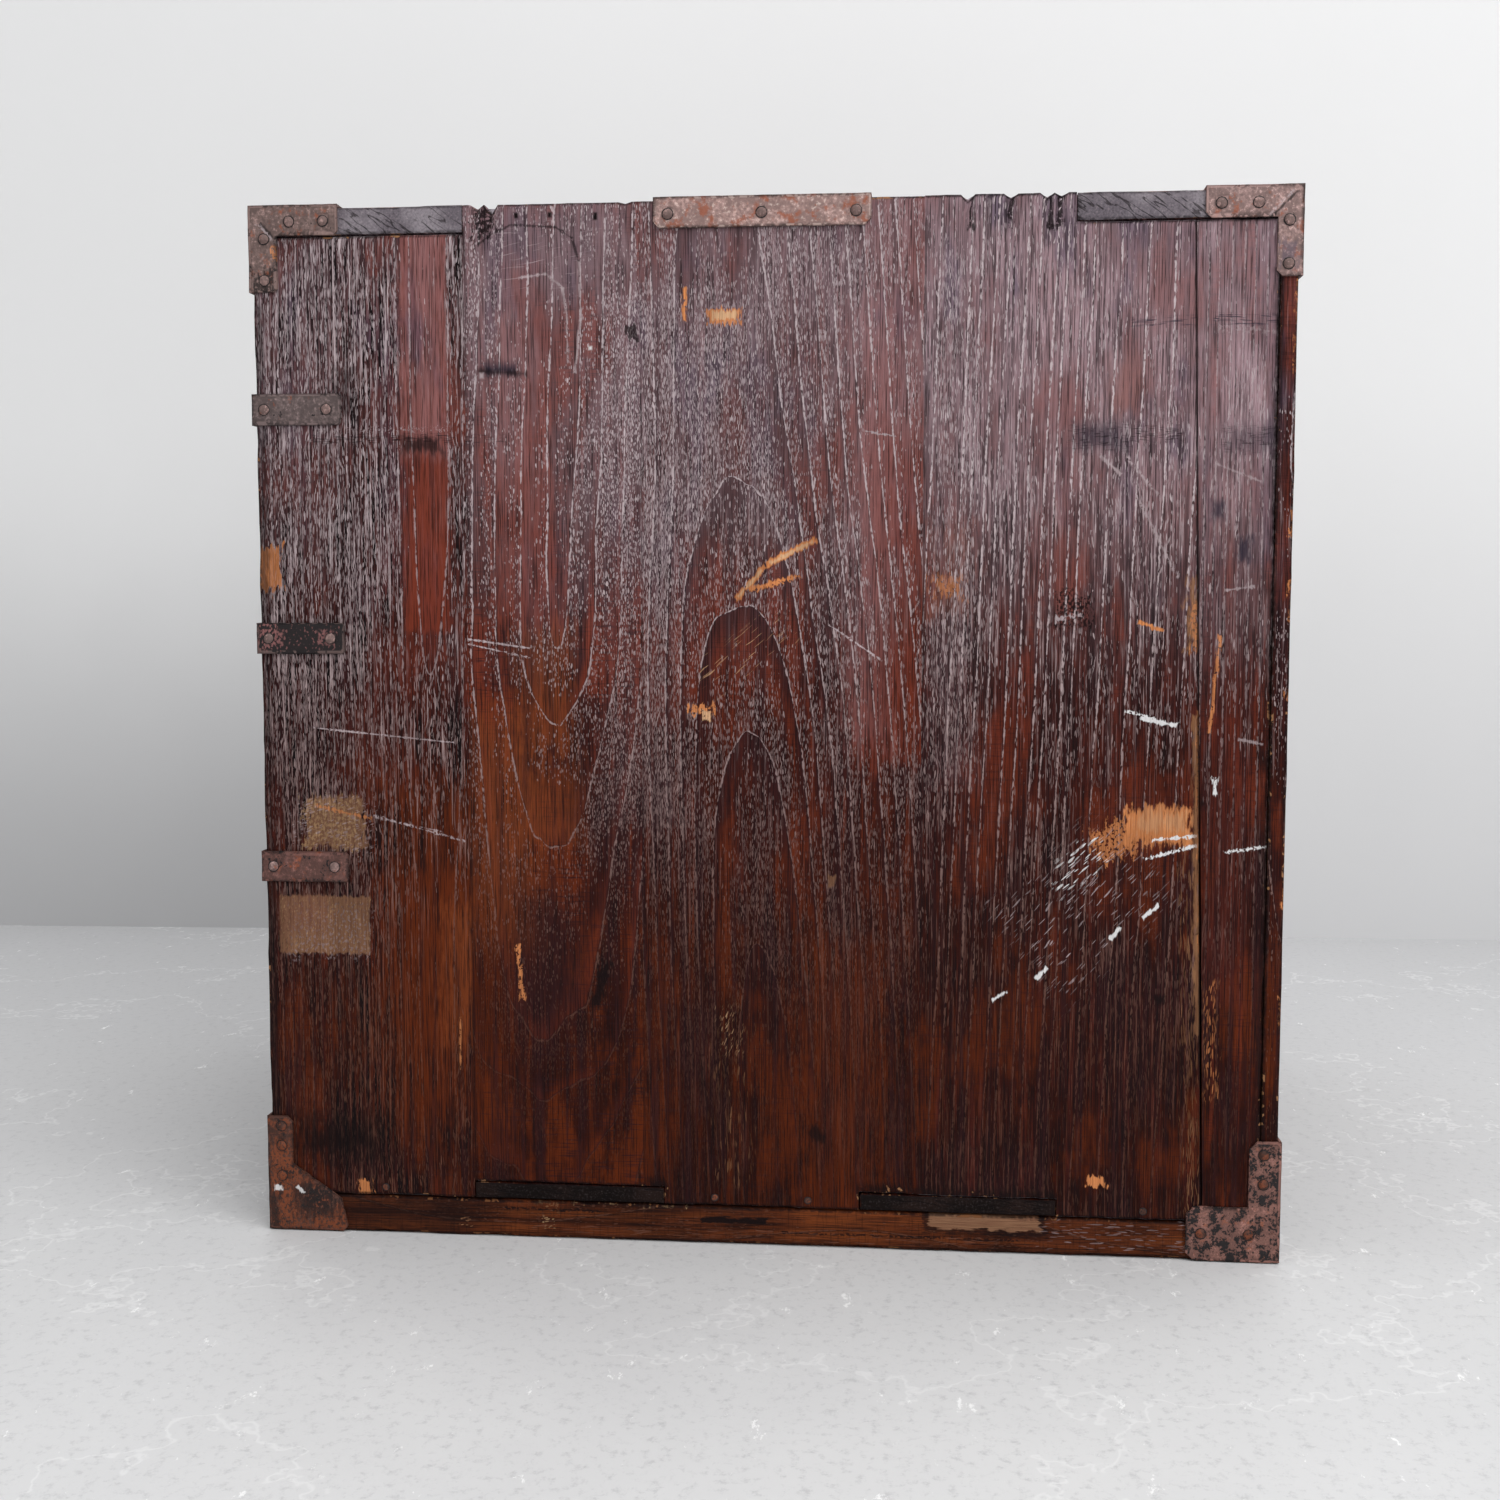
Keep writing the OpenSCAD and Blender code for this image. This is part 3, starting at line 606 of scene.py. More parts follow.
def wood_material(name, along, rings, look, marks=()):
    """A board's finish. look names what differs from the plain look; marks holds its chips and stains."""
    material, wires, shader = new_material(name)
    look = SimpleNamespace(**{**PLAIN_LOOK, **look})
    board = read_board(wires, along, rings, look.turned)
    base = lay_rings(wires, board, look, ground_tones(wires, board, look))
    base, more_pores = lay_features(wires, board, look, base)
    base = lay_sheen_and_weather(wires, board, look, base, more_pores)
    base, dashes = lay_dust(wires, board, look, base, more_pores)
    base, covered = lay_marks(wires, board, marks, base)
    base, bare = wear_edges(wires, base, board.point, look.worn, 0.75)
    base = wires.mix(bare, base, look.bare)
    polish = wires.step(board.streaks, 0.3, 0.7, look.rough, look.rough + 0.16)
    polish = wires.math("MAXIMUM", polish, wires.times(covered, 0.75))
    relief = wires.times_plus(dashes, -0.4, wires.times(board.fibre, 0.7))
    relief = wires.times_plus(board.rings["Line"], -0.6, relief)
    relief = wires.times_plus(board.slits, 1.2, relief)
    relief = wires.times_plus(wires.noise(board.point, 0.035, 2.0), 5.0, relief)
    wires.dress(shader, base, polish, look.specular, relief)
    return material


# %% [markdown]
# ## The five planks of the right side
# Each plank of the photographed side has its own rings. Reading the picture gave, for each, the centre of
# its arches, how far the lines run beside it, and the heights of the tips. Arches that open upward have
# rings that grow downward, and the other way round.

# %% Ring lines of the five planks
ring_group("Rings one", 90.5, 0.0, [10, 17, 23, 28, 33, 38, 43, 48, 53, 58, 63, 68, 73, 78, 83, 88, 93, 98],
           [(900, 0.0), (420, 0.35), (296, 1), (200, 1.6), (0, 1.9), (-300, 2)])
ring_group("Rings two", 144.0, 0.035, [7.5, 20, 33, 45, 55, 65, 75, 90, 110, 140],
           [(900, 0.0), (480, 0.15), (311, 1), (270, 2), (202, 3), (106, 4), (76, 5), (20, 6), (-300, 9)],
           power=2.4, wander=0.45)
ring_group("Rings three", 266.0, -0.055, [15, 25, 32, 38, 46, 53, 60, 68, 75, 82, 90, 98, 106, 120],
           [(-300, 0.0), (60, 0.3), (164, 1), (267, 2), (329, 3), (391, 4), (560, 5), (640, 6), (900, 8)],
           power=1.8)
ring_group("Rings four", 318.0, 0.04,
           [10, 24, 29, 36, 42, 51, 57, 65, 70, 78, 83, 96, 110, 122, 137, 150, 165],
           [(-300, 0.0), (0, 0.3), (530, 0.5), (900, 1.0)])
ring_group("Rings five", 560.0, 0.0, [4, 9, 15, 21, 26, 31, 37, 43, 47, 52, 57, 63, 68, 74, 80, 85, 91, 97],
           [(-300, 0.0), (900, 0.5)])
print("rings of the planks:", [group.name for group in bpy.data.node_groups if "Rings" in group.name])
SIDE_TONES = [(0.0, paint(40, 14, 9)), (0.3, paint(54, 20, 13)), (0.52, paint(72, 29, 22)),
              (0.78, paint(90, 48, 44)), (1.0, TONES["dusk"])]

# %% [markdown]
# The features of each plank: red strips and grey haze that follow the grain, darker bands where something
# once leaned, and the single marks. Every row is one of them, in millimetres and degrees, measured from the
# front edge and from the floor.
#
# - a feature: tone, y, z, its two half sizes, softness, fray, strength, and how many more pores it opens
# - a mark: tone, y, z, its two half sizes, turn, softness, fray, how broken it is, strength; the last ones
#   can be left out
# - a mark made of streaks adds their angle, density, width and length

# %% Features of the planks
FEATURES = {
    1: [("haze", 18, 430, 24, 90, 14, 14, 0.35, 0.5), ("brick", 72, 350, 16, 130, 8, 10, 0.6, 0),
        ("ember", 88, 440, 12, 125, 2.5, 3, 0.85, -0.6), ("rose", 88, 480, 11, 75, 7, 6, 0.9, 0),
        ("plum", 30, 300, 34, 90, 16, 10, 0.5, 0.35), ("amber", 88, 150, 30, 90, 22, 20, 0.8, -0.3),
        ("honey", 104, 138, 9, 36, 8, 10, 0.65, -0.3)],
    2: [("ember", 139, 395, 15, 78, 9, 10, 0.75, -0.3), ("brick", 146, 480, 15, 30, 7, 7, 0.4, -0.5),
        ("haze", 150, 500, 26, 18, 9, 9, 0.5, -0.6), ("ember", 137, 487, 9, 12, 7, 9, 0.6, -0.6),
        ("honey", 148, 285, 14, 32, 8, 10, 0.6, -0.3), ("honey", 149, 226, 17, 20, 10, 8, 0.45, -0.3),
        ("haze", 190, 350, 12, 130, 12, 8, 0.25, 2.4), ("honey", 124, 215, 18, 60, 16, 16, 0.6, -0.2),
        ("amber", 118, 110, 14, 70, 14, 16, 0.4, -0.2), ("plum", 150, 150, 16, 30, 14, 12, 0.7, 0)],
    3: [("haze", 206, 350, 11, 130, 12, 8, 0.25, 2.4), ("plum", 245, 430, 34, 60, 22, 20, 0.45, 0.4),
        ("ember", 326, 400, 15, 150, 6, 10, 0.6, -0.4), ("rose", 312, 370, 11, 110, 9, 10, 0.5, -0.4),
        ("amber", 300, 60, 20, 100, 12, 20, 0.5, -0.3)],
    4: [("haze", 354, 370, 11, 130, 8, 8, 0.35, 1.4), ("ember", 405, 420, 12, 90, 7, 8, 0.5, -0.2),
        ("ember", 455, 430, 16, 60, 10, 14, 0.35, -0.1), ("honey", 436, 436, 8, 13, 7, 10, 0.6, -0.3),
        ("honey", 352, 345, 10, 22, 7, 12, 0.5, -0.2)],
    5: [("slate", 508, 440, 9, 90, 8, 10, 0.5, 0.1), ("ember", 488, 415, 10, 40, 8, 12, 0.4, 0),
        ("honey", 499, 434, 8, 10, 6, 10, 0.55, 0), ("brick", 490, 250, 9, 120, 6, 8, 0.5, 0)],
}
print("features:", sum(map(len, FEATURES.values())))

# %% Marks of the planks
ARCH_LINES = {
    ("soot", 0.75): [(120, 510.7, 4.6, 35), (128, 515.2, 5.5, 24), (144.2, 516.8, 11.8, -4),
                     (159.9, 513.3, 5.2, -33), (165.7, 504.8, 6.5, -73)],
    ("dust", 0.7): [(144.2, 492.4, 7, 7), (155.2, 489.6, 5.6, -41), (160.1, 481.2, 5, -80),
                    (161.3, 463, 13.6, -88), (168, 486, 13.1, -88), (166.8, 458.8, 14.4, 83)],
}
ARCHES = [(tone, y, z, long, 0.5, turn, 0.5, 1, 0.34, strength)
          for (tone, strength), lines in ARCH_LINES.items() for y, z, long, turn in lines]
MARKS = {
    1: [("soot", 86, 409.5, 10, 3.6, 0, 2.5, 4, 0, 0.8),
        ("soot", 66, 412.5, 38, 2.4, 0, 1.2, 1.5, 0, 0.8, (0, 0.7, 1.2, 12)),
        ("dust", 66, 417, 34, 1.4, 0, 0.8, 1.5, 0, 0.8, (90, 0.4, 1, 2)),
        ("soot", 47, 436, 4, 12, 0, 4, 7, 0, 0.65), ("bare", 5, 347, 6, 11, 0, 0.5, 6, 0, 0.8),
        ("straw", 31, 163, 24, 15, 0, 0.7, 1.6, 0, 0.88), ("umber", 31, 163, 23, 14, 0, 3, 8, 0.56, 0.4),
        ("dust", 34, 160, 20, 13, 0, 4, 9, 0.58, 0.3), ("silt", 20, 168, 12, 9, 0, 5, 6, 0, 0.5),
        ("pale", 31, 163, 24, 15, 0, 0.5, 1.6, 0, 0.5, (78, 0.16, 1, 3)),
        ("straw", 38, 216, 15, 13, 0, 0.9, 5, 0, 0.85), ("pale", 36, 216, 14, 12, 0, 3, 9, 0.52, 0.6),
        ("dust", 36, 215, 20, 14, 0, 4, 9, 0, 0.5, (20, 0.3, 1.6, 5)),
        ("bare", 42, 222, 15, 0.8, -12, 0.4, 2, 0.38, 0.8),
        ("dust", 64, 262, 37, 0.35, -5.5, 0.25, 0.6, 0.4, 0.8),
        ("dust", 82, 214, 25, 0.4, -15, 0.3, 0.8, 0.44, 0.8),
        ("dust", 76, 216, 18, 0.35, -11, 0.3, 0.8, 0.44, 0.6),
        ("bare", 102, 102, 0.35, 14, -1, 0.5, 0.8, 0.35, 0.8), ("bare", 50, 24, 3, 3.4, 0, 0.5, 3.5),
        ("soot", 37, 50, 22, 10, 0, 10, 12, 0, 0.85), ("soot", 3, 260, 2, 220, 0, 2.5, 3, 0, 0.6)],
    2: [("soot", 109.5, 267, 0.4, 250, 0, 0.4, 0.4, 0, 0.55),
        ("ink", 127, 446.5, 8, 2.6, 0, 3.4, 2.5, 0, 0.9),
        ("soot", 128, 445, 13, 1.2, -4, 1.6, 1.6, 0, 0.75),
        ("soot", 116, 412, 13, 2.4, 0, 1.5, 1.5, 0, 0.7, (0, 0.6, 1.2, 12)),
        ("dust", 117.5, 443.5, 0.9, 1.2, 0, 0.9, 0.5), ("chalk", 173, 456.5, 0.8, 0.8, 0, 0.7, 0.3),
        ("soot", 194, 464, 2.5, 3.5, 0, 0.5, 4, 0, 0.8), ("dust", 111, 311, 30, 0.4, -8, 0.25, 0.6, 0.32),
        ("dust", 122, 306, 20, 0.3, -12, 0.25, 0.6, 0.42), ("soot", 176, 134, 3, 13, -15, 2.5, 5, 0, 0.9),
        ("bare", 134, 140, 1, 14, 4, 0.5, 2.5, 0.42, 0.8),
        ("dust", 150, 500, 24, 16, 0, 8, 10, 0, 0.5, (10, 0.1, 0.7, 22)),
        ("soot", 119, 520, 5, 9, 0, 1.5, 8, 0.44, 0.9), ("soot", 136, 522, 0.9, 1.2, 0, 0.7, 0.5),
        ("soot", 153, 522, 0.8, 1, 0, 0.7, 0.5), ("soot", 176, 521, 1, 1.8, 0, 0.7, 0.5)] + ARCHES,
    3: [("soot", 198.5, 267, 0.3, 250, 0, 0.4, 0.4, 0, 0.4), ("bare", 240, 471, 8, 3.6, 0, 0.5, 4, 0, 0.9),
        ("chip", 241, 471.5, 6, 2, 0, 0.5, 3), ("bare", 220.5, 477, 0.9, 8, 0, 0.5, 1.6, 0.35),
        ("bare", 253.5, 340, 11, 1.3, 48, 0.5, 1.6), ("chip", 253, 339.5, 9, 0.6, 48, 0.5, 1.2),
        ("bare", 273.5, 355, 14, 1.6, 27, 0.5, 1.8), ("chip", 274, 355, 12, 0.8, 27, 0.5, 1.4, 0.3),
        ("bare", 266, 340, 13, 1.1, 16, 0.5, 2.4, 0.36), ("bare", 228, 276, 6, 2.2, 0, 0.5, 4, 0.4),
        ("chip", 231, 273, 2.4, 2.6, 0, 0.5, 2, 0.35), ("dust", 306, 310, 16, 0.35, -34, 0.25, 0.6, 0.45),
        ("dust", 318, 413, 8, 0.4, -10, 0.3, 0.8, 0.4), ("straw", 295, 190, 1.6, 3, 0, 0.5, 2, 0, 0.8),
        ("chip", 250, 304, 24, 9, 38, 5, 6, 0, 0.7, (40, 0.12, 1, 16)),
        ("chip", 243, 112, 4, 12, 10, 3, 4, 0, 0.7, (70, 0.3, 1, 6)),
        ("tan", 244, 75, 9, 40, 0, 5, 8, 0, 0.7, (92, 0.2, 0.9, 14)),
        ("soot", 287, 59, 3, 4, 40, 1.5, 3, 0, 0.8)],
    4: [("soot", 339.5, 267, 0.35, 250, 0, 0.4, 0.4, 0, 0.6), ("ink", 424, 411, 12, 6, 0, 5, 3, 0, 0.65),
        ("soot", 424, 410, 14, 6, 0, 3, 3, 0, 0.7, (0, 0.5, 1.2, 9)),
        ("soot", 452, 412, 13, 4, 0, 2, 3, 0, 0.75, (0, 0.6, 1.3, 10)),
        ("ink", 462, 466, 23, 1.8, 2, 1.2, 1.5, 0, 0.85, (2, 0.9, 1.3, 20)),
        ("bare", 351, 338, 7, 4, 0, 2, 6, 0.4, 0.6), ("soot", 413, 326, 8, 8, 0, 2.5, 10, 0.5, 0.9),
        ("dust", 411, 323, 6, 1, 10, 0.5, 2.5, 0.42), ("bare", 448, 319.5, 3.4, 0.7, -18, 0.4, 1.2),
        ("bare", 454, 317, 3.4, 0.8, -14, 0.4, 1.2), ("bare", 456, 220, 16, 9, 0, 1.5, 6),
        ("bare", 437, 213, 12, 8, 24, 1.5, 9, 0.42, 0.85), ("chip", 458, 222, 11, 4, 0, 3, 7, 0, 0.45),
        ("chalk", 455, 271.5, 9, 1, -12, 0.4, 1.6), ("chalk", 446, 275, 7, 0.5, -14, 0.3, 1.2, 0.4),
        ("chalk", 464, 214, 11, 0.7, 6, 0.3, 1.4, 0.4), ("chalk", 463, 207, 14, 0.8, 16, 0.3, 1.4, 0.42),
        ("chalk", 418, 200, 16, 7, 42, 3, 5, 0, 1, (42, 0.36, 1.7, 10)),
        ("dust", 420, 180, 36, 26, 42, 12, 12, 0, 0.7, (48, 0.14, 1.1, 11)),
        ("chalk", 436, 166, 4, 1, 55, 0.4, 1.2), ("chalk", 453, 177, 5, 0.8, 40, 0.4, 1.4),
        ("chalk", 400, 145, 4, 1, 50, 0.4, 1.2), ("chalk", 379, 133, 4, 0.7, 35, 0.4, 1.2),
        ("dust", 430, 397, 7, 0.8, -42, 0.5, 1.2, 0.3, 0.8),
        ("dust", 453, 362, 22, 0.6, -63, 0.5, 1.4, 0.38, 0.8),
        ("dust", 445, 392, 12, 0.6, -50, 0.5, 1.4, 0.4, 0.7), ("soot", 458, 133, 3, 2, 0, 1.5, 3, 0, 0.8),
        ("bare", 428, 39, 4.5, 2.4, 0, 0.5, 3.5, 0, 0.9), ("tan", 470.5, 325, 2.4, 17, 0, 1.5, 5, 0, 0.7),
        ("bare", 471.5, 318, 1.2, 12, 0, 1, 3, 0.42, 0.6),
        ("tan", 475, 195, 1.5, 80, 1.4, 1, 2.5, 0, 0.75),
        ("bare", 476, 215, 0.7, 62, 1.4, 0.5, 1.6, 0.4, 0.8),
        ("tan", 473, 120, 4.5, 95, 1.4, 2, 3, 0, 0.75, (91, 0.4, 0.8, 16)),
        ("soot", 474.8, 267, 0.8, 252, 1.39, 0.5, 0.5, 0, 0.92)],
    5: [("ink", 499, 409, 14, 6, 0, 5, 3, 0, 0.45),
        ("soot", 498, 409, 15, 6, 0, 3, 3, 0, 0.6, (2, 0.5, 1.2, 10)),
        ("ink", 495, 466, 17, 2.4, -2, 1.4, 1.5, 0, 0.85, (-2, 0.9, 1.5, 20)),
        # The pale line at 496, 461 is a painted highlight just beneath the dark sloping line above it.
        ("dust", 496, 461, 16, 1.2, -4, 1, 3, 0.5, 0.5), ("ink", 482, 375, 3, 4, 0, 3, 2, 0, 0.8),
        ("ink", 495, 356, 3, 6, 0, 3, 3, 0, 0.8), ("dust", 491, 393, 12, 0.5, -22, 0.5, 1, 0.35, 0.6),
        ("dust", 493, 337, 7, 0.5, 8, 0.4, 1, 0.3, 0.8),
        ("bare", 482, 290, 0.7, 24, -5, 0.5, 1.4, 0.36, 0.75),
        ("bare", 483.5, 112, 3.2, 30, 2, 2, 3, 0, 0.8, (89, 0.5, 0.9, 9)),
        ("chalk", 483, 240, 0.9, 4, 0, 0.5, 2, 0.4), ("chalk", 500, 209, 12, 0.6, 9, 0.4, 1.2, 0.42),
        ("chalk", 512, 209, 1.2, 4), ("dust", 500, 262, 6, 0.5, -12, 0.4, 1, 0, 0.7),
        ("soot", 507.5, 260, 1.5, 230, 0, 2.5, 3, 0, 0.5)],
}
MARKS[4] += [("soot", y, 519, 1.3, 8, 0, 0.9, 3, 0.36, 0.9) for y in (361, 380, 399, 404)]
print("marks:", sum(map(len, MARKS.values())))

# %% [markdown]
# ## Making a board from its solid
# The solid model's board is exact, with knife-sharp edges. A real one has edges rounded by wear. The mesh
# of the solid is copied, its loose triangles are merged into clean faces, and planes slice it into a grid.
# A bevel then rounds the outline, and the grid gives the wear vertices that it can push inward. Nothing
# moves outward, so the board stays inside its measured box.

# %% Copy, slice, round and wear
def merged_copy(node):
    """The node's mesh at its true place, with its triangles merged into whole faces."""
    shape = bmesh.new()
    shape.from_mesh(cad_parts[node].data)
    bmesh.ops.remove_doubles(shape, verts=shape.verts, dist=1e-6)
    bmesh.ops.dissolve_limit(shape, angle_limit=0.02, verts=shape.verts, edges=shape.edges)
    return shape


def slice_grid(shape, spacing, border=2.2):
    """Cuts the shape by planes square to x, y and z, so many millimetres apart, and once near each end."""
    for axis, gap in enumerate(spacing):
        low = min(v.co[axis] for v in shape.verts)
        high = max(v.co[axis] for v in shape.verts)
        count = max(1, round((high - low) / (gap * MM))) if gap else 1
        places = [low + (high - low) * n / count for n in range(1, count)]
        places += [low + border * MM, high - border * MM]
        normal = Vector((axis == 0, axis == 1, axis == 2))
        for place in sorted(places):
            whole = shape.verts[:] + shape.edges[:] + shape.faces[:]
            bmesh.ops.bisect_plane(shape, geom=whole, plane_co=normal * place, plane_no=normal, dist=1e-5)


def bevel(shape, edges, width, segments, clamp):
    return bmesh.ops.bevel(shape, geom=edges, offset=width * MM, offset_type="OFFSET", segments=segments,
                           affect="EDGES", profile=0.5, material=-1, clamp_overlap=clamp)


def round_outline(shape, width, skip=None):
    """Bevels every sharp edge, or all but those that skip names, and marks the new corners as worn."""
    sharp = [e for e in shape.edges if len(e.link_faces) == 2 and e.calc_face_angle(0.0) > 0.5]
    made = bevel(shape, [e for e in sharp if skip is None or not skip(e)], width, 2, True)
    worn = shape.verts.layers.float.new("worn")
    for vert in {v for face in made["faces"] for v in face.verts}:
        vert[worn] = 1.0
    for edge in shape.edges:
        edge.smooth = edge.calc_face_angle(0.0) < 0.9
    return worn


def wear_down(shape, worn, flat_depth, edge_depth, grain=60.0, hold=None):
    """Pushes each vertex inward, more and unevenly on worn edges; hold may keep one of its directions."""
    shape.normal_update()
    moves = []
    for vert in shape.verts:
        slow = 0.5 + 0.5 * noise.noise(vert.co * grain)
        quick = 0.5 + 0.5 * noise.noise(vert.co * grain * 7 + Vector((3, 1, 7)))
        depth = flat_depth * slow + vert[worn] * edge_depth * slow * quick * 2
        move = vert.normal * depth * MM
        moves.append((vert, hold(vert, move) if hold else move))
    for vert, move in moves:
        vert.co -= move


def finish_piece(shape, name, body, materials, slot, nodes):
    """Makes the object: smooth faces, flat areas kept flat, its body and the nodes it stands for; slot is
    not used.
    """
    mesh = bpy.data.meshes.new(name)
    shape.normal_update()
    shape.to_mesh(mesh)
    shape.free()
    for material in materials:
        mesh.materials.append(material)
    mesh.polygons.foreach_set("use_smooth", [True] * len(mesh.polygons))
    piece = bpy.data.objects.new(name, mesh)
    bpy.context.scene.collection.objects.link(piece)
    steady = piece.modifiers.new("flats stay flat", "WEIGHTED_NORMAL")
    steady.weight = 80
    steady.keep_sharp = True
    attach(piece, body)
    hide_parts(*nodes)
    return piece


def mark_faces(shape, axis, index):
    """Faces that look along one axis get another of the materials."""
    shape.normal_update()
    for face in shape.faces:
        if abs(face.normal[axis]) > 0.8:
            face.material_index = index


# %% [markdown]
# ## End grain
# Where the top board's fingers and the planks' ends are cut across, no dashes show. The cut is dark grey
# with slanting cracks and faint arcs of the rings. Stretched noise on a slant makes the cracks.

# %% End grain material
def end_grain_material(name, tone, dark, slant=35.0, dusty=0.3):
    material, wires, shader = new_material(name)
    point = wires.vector("MULTIPLY", wires.place(), IN_MM)
    slanted = wires.vector("MULTIPLY", wires.turn(point, slant, "X_AXIS"), (0.05, 0.025, 0.16))
    cracks = wires.noise(slanted, 1.0, 3.0, 0.55)
    crack = wires.step(wires.math("ABSOLUTE", wires.minus(cracks, 0.5)), 0.002, 0.022, 1.0, 0.0)
    speckle = wires.noise(point, 0.9, 4.0, 0.7)
    cloud = wires.noise(point, 0.05, 3.0)
    base = wires.mix(wires.step(cloud, 0.35, 0.65), tone, dark)
    base = wires.tint(base, TONES["dust"], speckle, 0.5, 0.75, dusty)
    base = wires.tint(base, TONES["soot"], speckle, 0.5, 0.3, 0.4)
    base = wires.mix(wires.times(crack, 0.7), base, TONES["soot"])
    base, _ = wear_edges(wires, base, point, 0.35, 0.6)
    wires.dress(shader, base, 0.72, 0.08, wires.times_plus(crack, -1.6, speckle), 0.7)
    return material


grey_end = end_grain_material("Grey end grain", paint(146, 138, 144), paint(110, 102, 109))
black_end = end_grain_material("Black tenon ends", paint(36, 24, 21), paint(18, 12, 11), 4.0, 0.06)
print("end grain:", grey_end.name, "and", black_end.name)

# %% [markdown]
# ## The side planks
# Five planks a side, fourteen millimetres thick. The photographed right side has the measured rings. The
# left side, which nobody has photographed, mirrors them, without the single marks. The tops of the middle
# planks are worm-eaten, so a few notches are pushed in there.

# %% Materials of the side planks
LOOKS = {
    1: dict(late=TONES["brick"], smooth=0.4, open=0.2, closed=0.24, pore_width=0.65, pore_length=8.0,
            veil=0.1, streak=TONES["brick"], line=0.5, weather=1.0, dust_low=0.5),
    2: dict(late=TONES["ember"], smooth=0.6, open=0.42, closed=0.02, veil=0.42, bloom=0.35, warm=0.8,
            fleck=0.8, weather=0.08, dust_low=0.15),
    3: dict(late=TONES["plum"], smooth=0.7, open=0.5, closed=0.12, veil=0.45, weather=0.35, warm=0.5,
            dust_low=0.12, top_slits=0.5, pore_width=0.7, pore_length=5.5),
    4: dict(late=TONES["plum"], smooth=0.3, open=0.2, closed=0.06, pore_length=8.0, streak=TONES["brick"],
            line=1.0, pore_width=0.7, veil=0.9, weather=0.6, bloom=0.7, warm=0.6, dust_low=0.25,
            top_slits=0.1),
    5: dict(late=TONES["plum"], smooth=0.3, open=0.12, closed=0.03, pore_length=9.0, streak=TONES["ember"],
            line=0.4, pore_width=0.7, veil=1.0, weather=0.3, fleck=0.5, warm=0.7, dust_low=0.2,
            top_slits=0.1),
}
RINGS = {1: "Rings one", 2: "Rings two", 3: "Rings three", 4: "Rings four", 5: "Rings five"}
side_materials = {}
for number in range(1, 6):
    look = dict(LOOKS[number], tones=SIDE_TONES, features=FEATURES[number])
    for side, marks in (("right", MARKS[number]), ("left", ())):
        name = f"{side.capitalize()} plank {number}"
        side_materials[side, number] = wood_material(name, "Z", RINGS[number], look, marks)
print("side materials:", len(side_materials))

# %% Side planks
# Each notch: how far it lies behind the front edge in m, then its half width and its depth in mm.
NOTCHES = [(0.1154, 2.0, 5.0), (0.1231, 2.4, 7.0), (0.3606, 2.2, 6.0), (0.3799, 1.6, 4.5),
           (0.3991, 2.0, 7.0), (0.4039, 1.5, 5.0), (0.146, 1.3, 2.5), (0.190, 1.6, 2.5), (0.415, 1.3, 3.0)]


def eat_notches(shape, top):
    """Worm holes along the top edge: vertices near each notch sink, most at its middle."""
    for vert in shape.verts:
        for place, half, depth in NOTCHES:
            away = abs(vert.co.y - FRONT_Y - place) / (half * MM)
            below = (top - vert.co.z) / (depth * 2 * MM)
            inside = (SIDE_X - abs(vert.co.x)) / (6 * MM)
            if away < 1 and below < 1 and inside < 1:
                share = (1 - away) * (1 - below) * (1 - inside)
                vert.co.z -= share * depth * MM
                vert.co.x -= math.copysign(share * 2.5 * MM, vert.co.x)


FRONT_EDGE, BACK_EDGE = FRONT_Y + 0.002, FRONT_Y + 0.506
# In m: where the planks start and how high they are, where the seam stands at their foot, how far it
# leans, and how high its gap reaches.
PLANK_FOOT, PLANK_HEIGHT = 0.02, 0.494
SEAM_FOOT, SEAM_LEAN, GAP_TOP = 0.481, 0.012, 0.255


def in_glue_line(edge):
    """An upright edge where two planks meet; it stays sharp, so that the joint hardly shows."""
    upright = abs(edge.verts[0].co.z - edge.verts[1].co.z) > 1.5 * MM
    return upright and all(FRONT_EDGE < v.co.y < BACK_EDGE for v in edge.verts)


def keep_glued(vert, move):
    """Planks don't shrink away from each other, except where the seam near the back has opened."""
    if FRONT_EDGE < vert.co.y < BACK_EDGE:
        move.y = 0.0
    return move


def open_seam(shape, number):
    """The joint between planks four and five leans forward, and below half height it has parted."""
    for vert in shape.verts:
        along = vert.co.z / GAP_TOP
        seam = FRONT_Y + SEAM_FOOT - SEAM_LEAN * (vert.co.z - PLANK_FOOT) / PLANK_HEIGHT
        if 0.08 < along < 1 and abs(vert.co.y - seam) < 1.2 * MM:
            gap = 0.55 * MM * math.sin(math.pi * along) ** 0.5
            vert.co.y += gap if number == 5 else -gap


def side_plank(side, number):
    node = f"{side}_side_plank_{number}"
    shape = merged_copy(node)
    slice_grid(shape, (None, 3.5 if number in (2, 3, 4) else 7.0, 8.0))
    worn = round_outline(shape, 0.7, skip=in_glue_line)
    wear_down(shape, worn, 0.3, 0.9, hold=keep_glued)
    if side == "right" and number in (4, 5):
        open_seam(shape, number)
    if number in (2, 3, 4):
        eat_notches(shape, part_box(node)[1].z)
    mark_faces(shape, 2, 1)
    materials = [side_materials[side, number], grey_end]
    return finish_piece(shape, f"{side}_plank_{number}", "case", materials, "side_wood", [node])


planks = [side_plank(side, number) for side in ("right", "left") for number in range(1, 6)]
print("plank faces:", sum(len(p.data.polygons) for p in planks))

# %% [markdown]
# ## The other boards of the case
# The top board's grain runs from side to side, so its ends show on the photographed side as dark fingers.
# Shelves, bottom, back and runners are plainer boards, each sliced, rounded and worn in the same way.

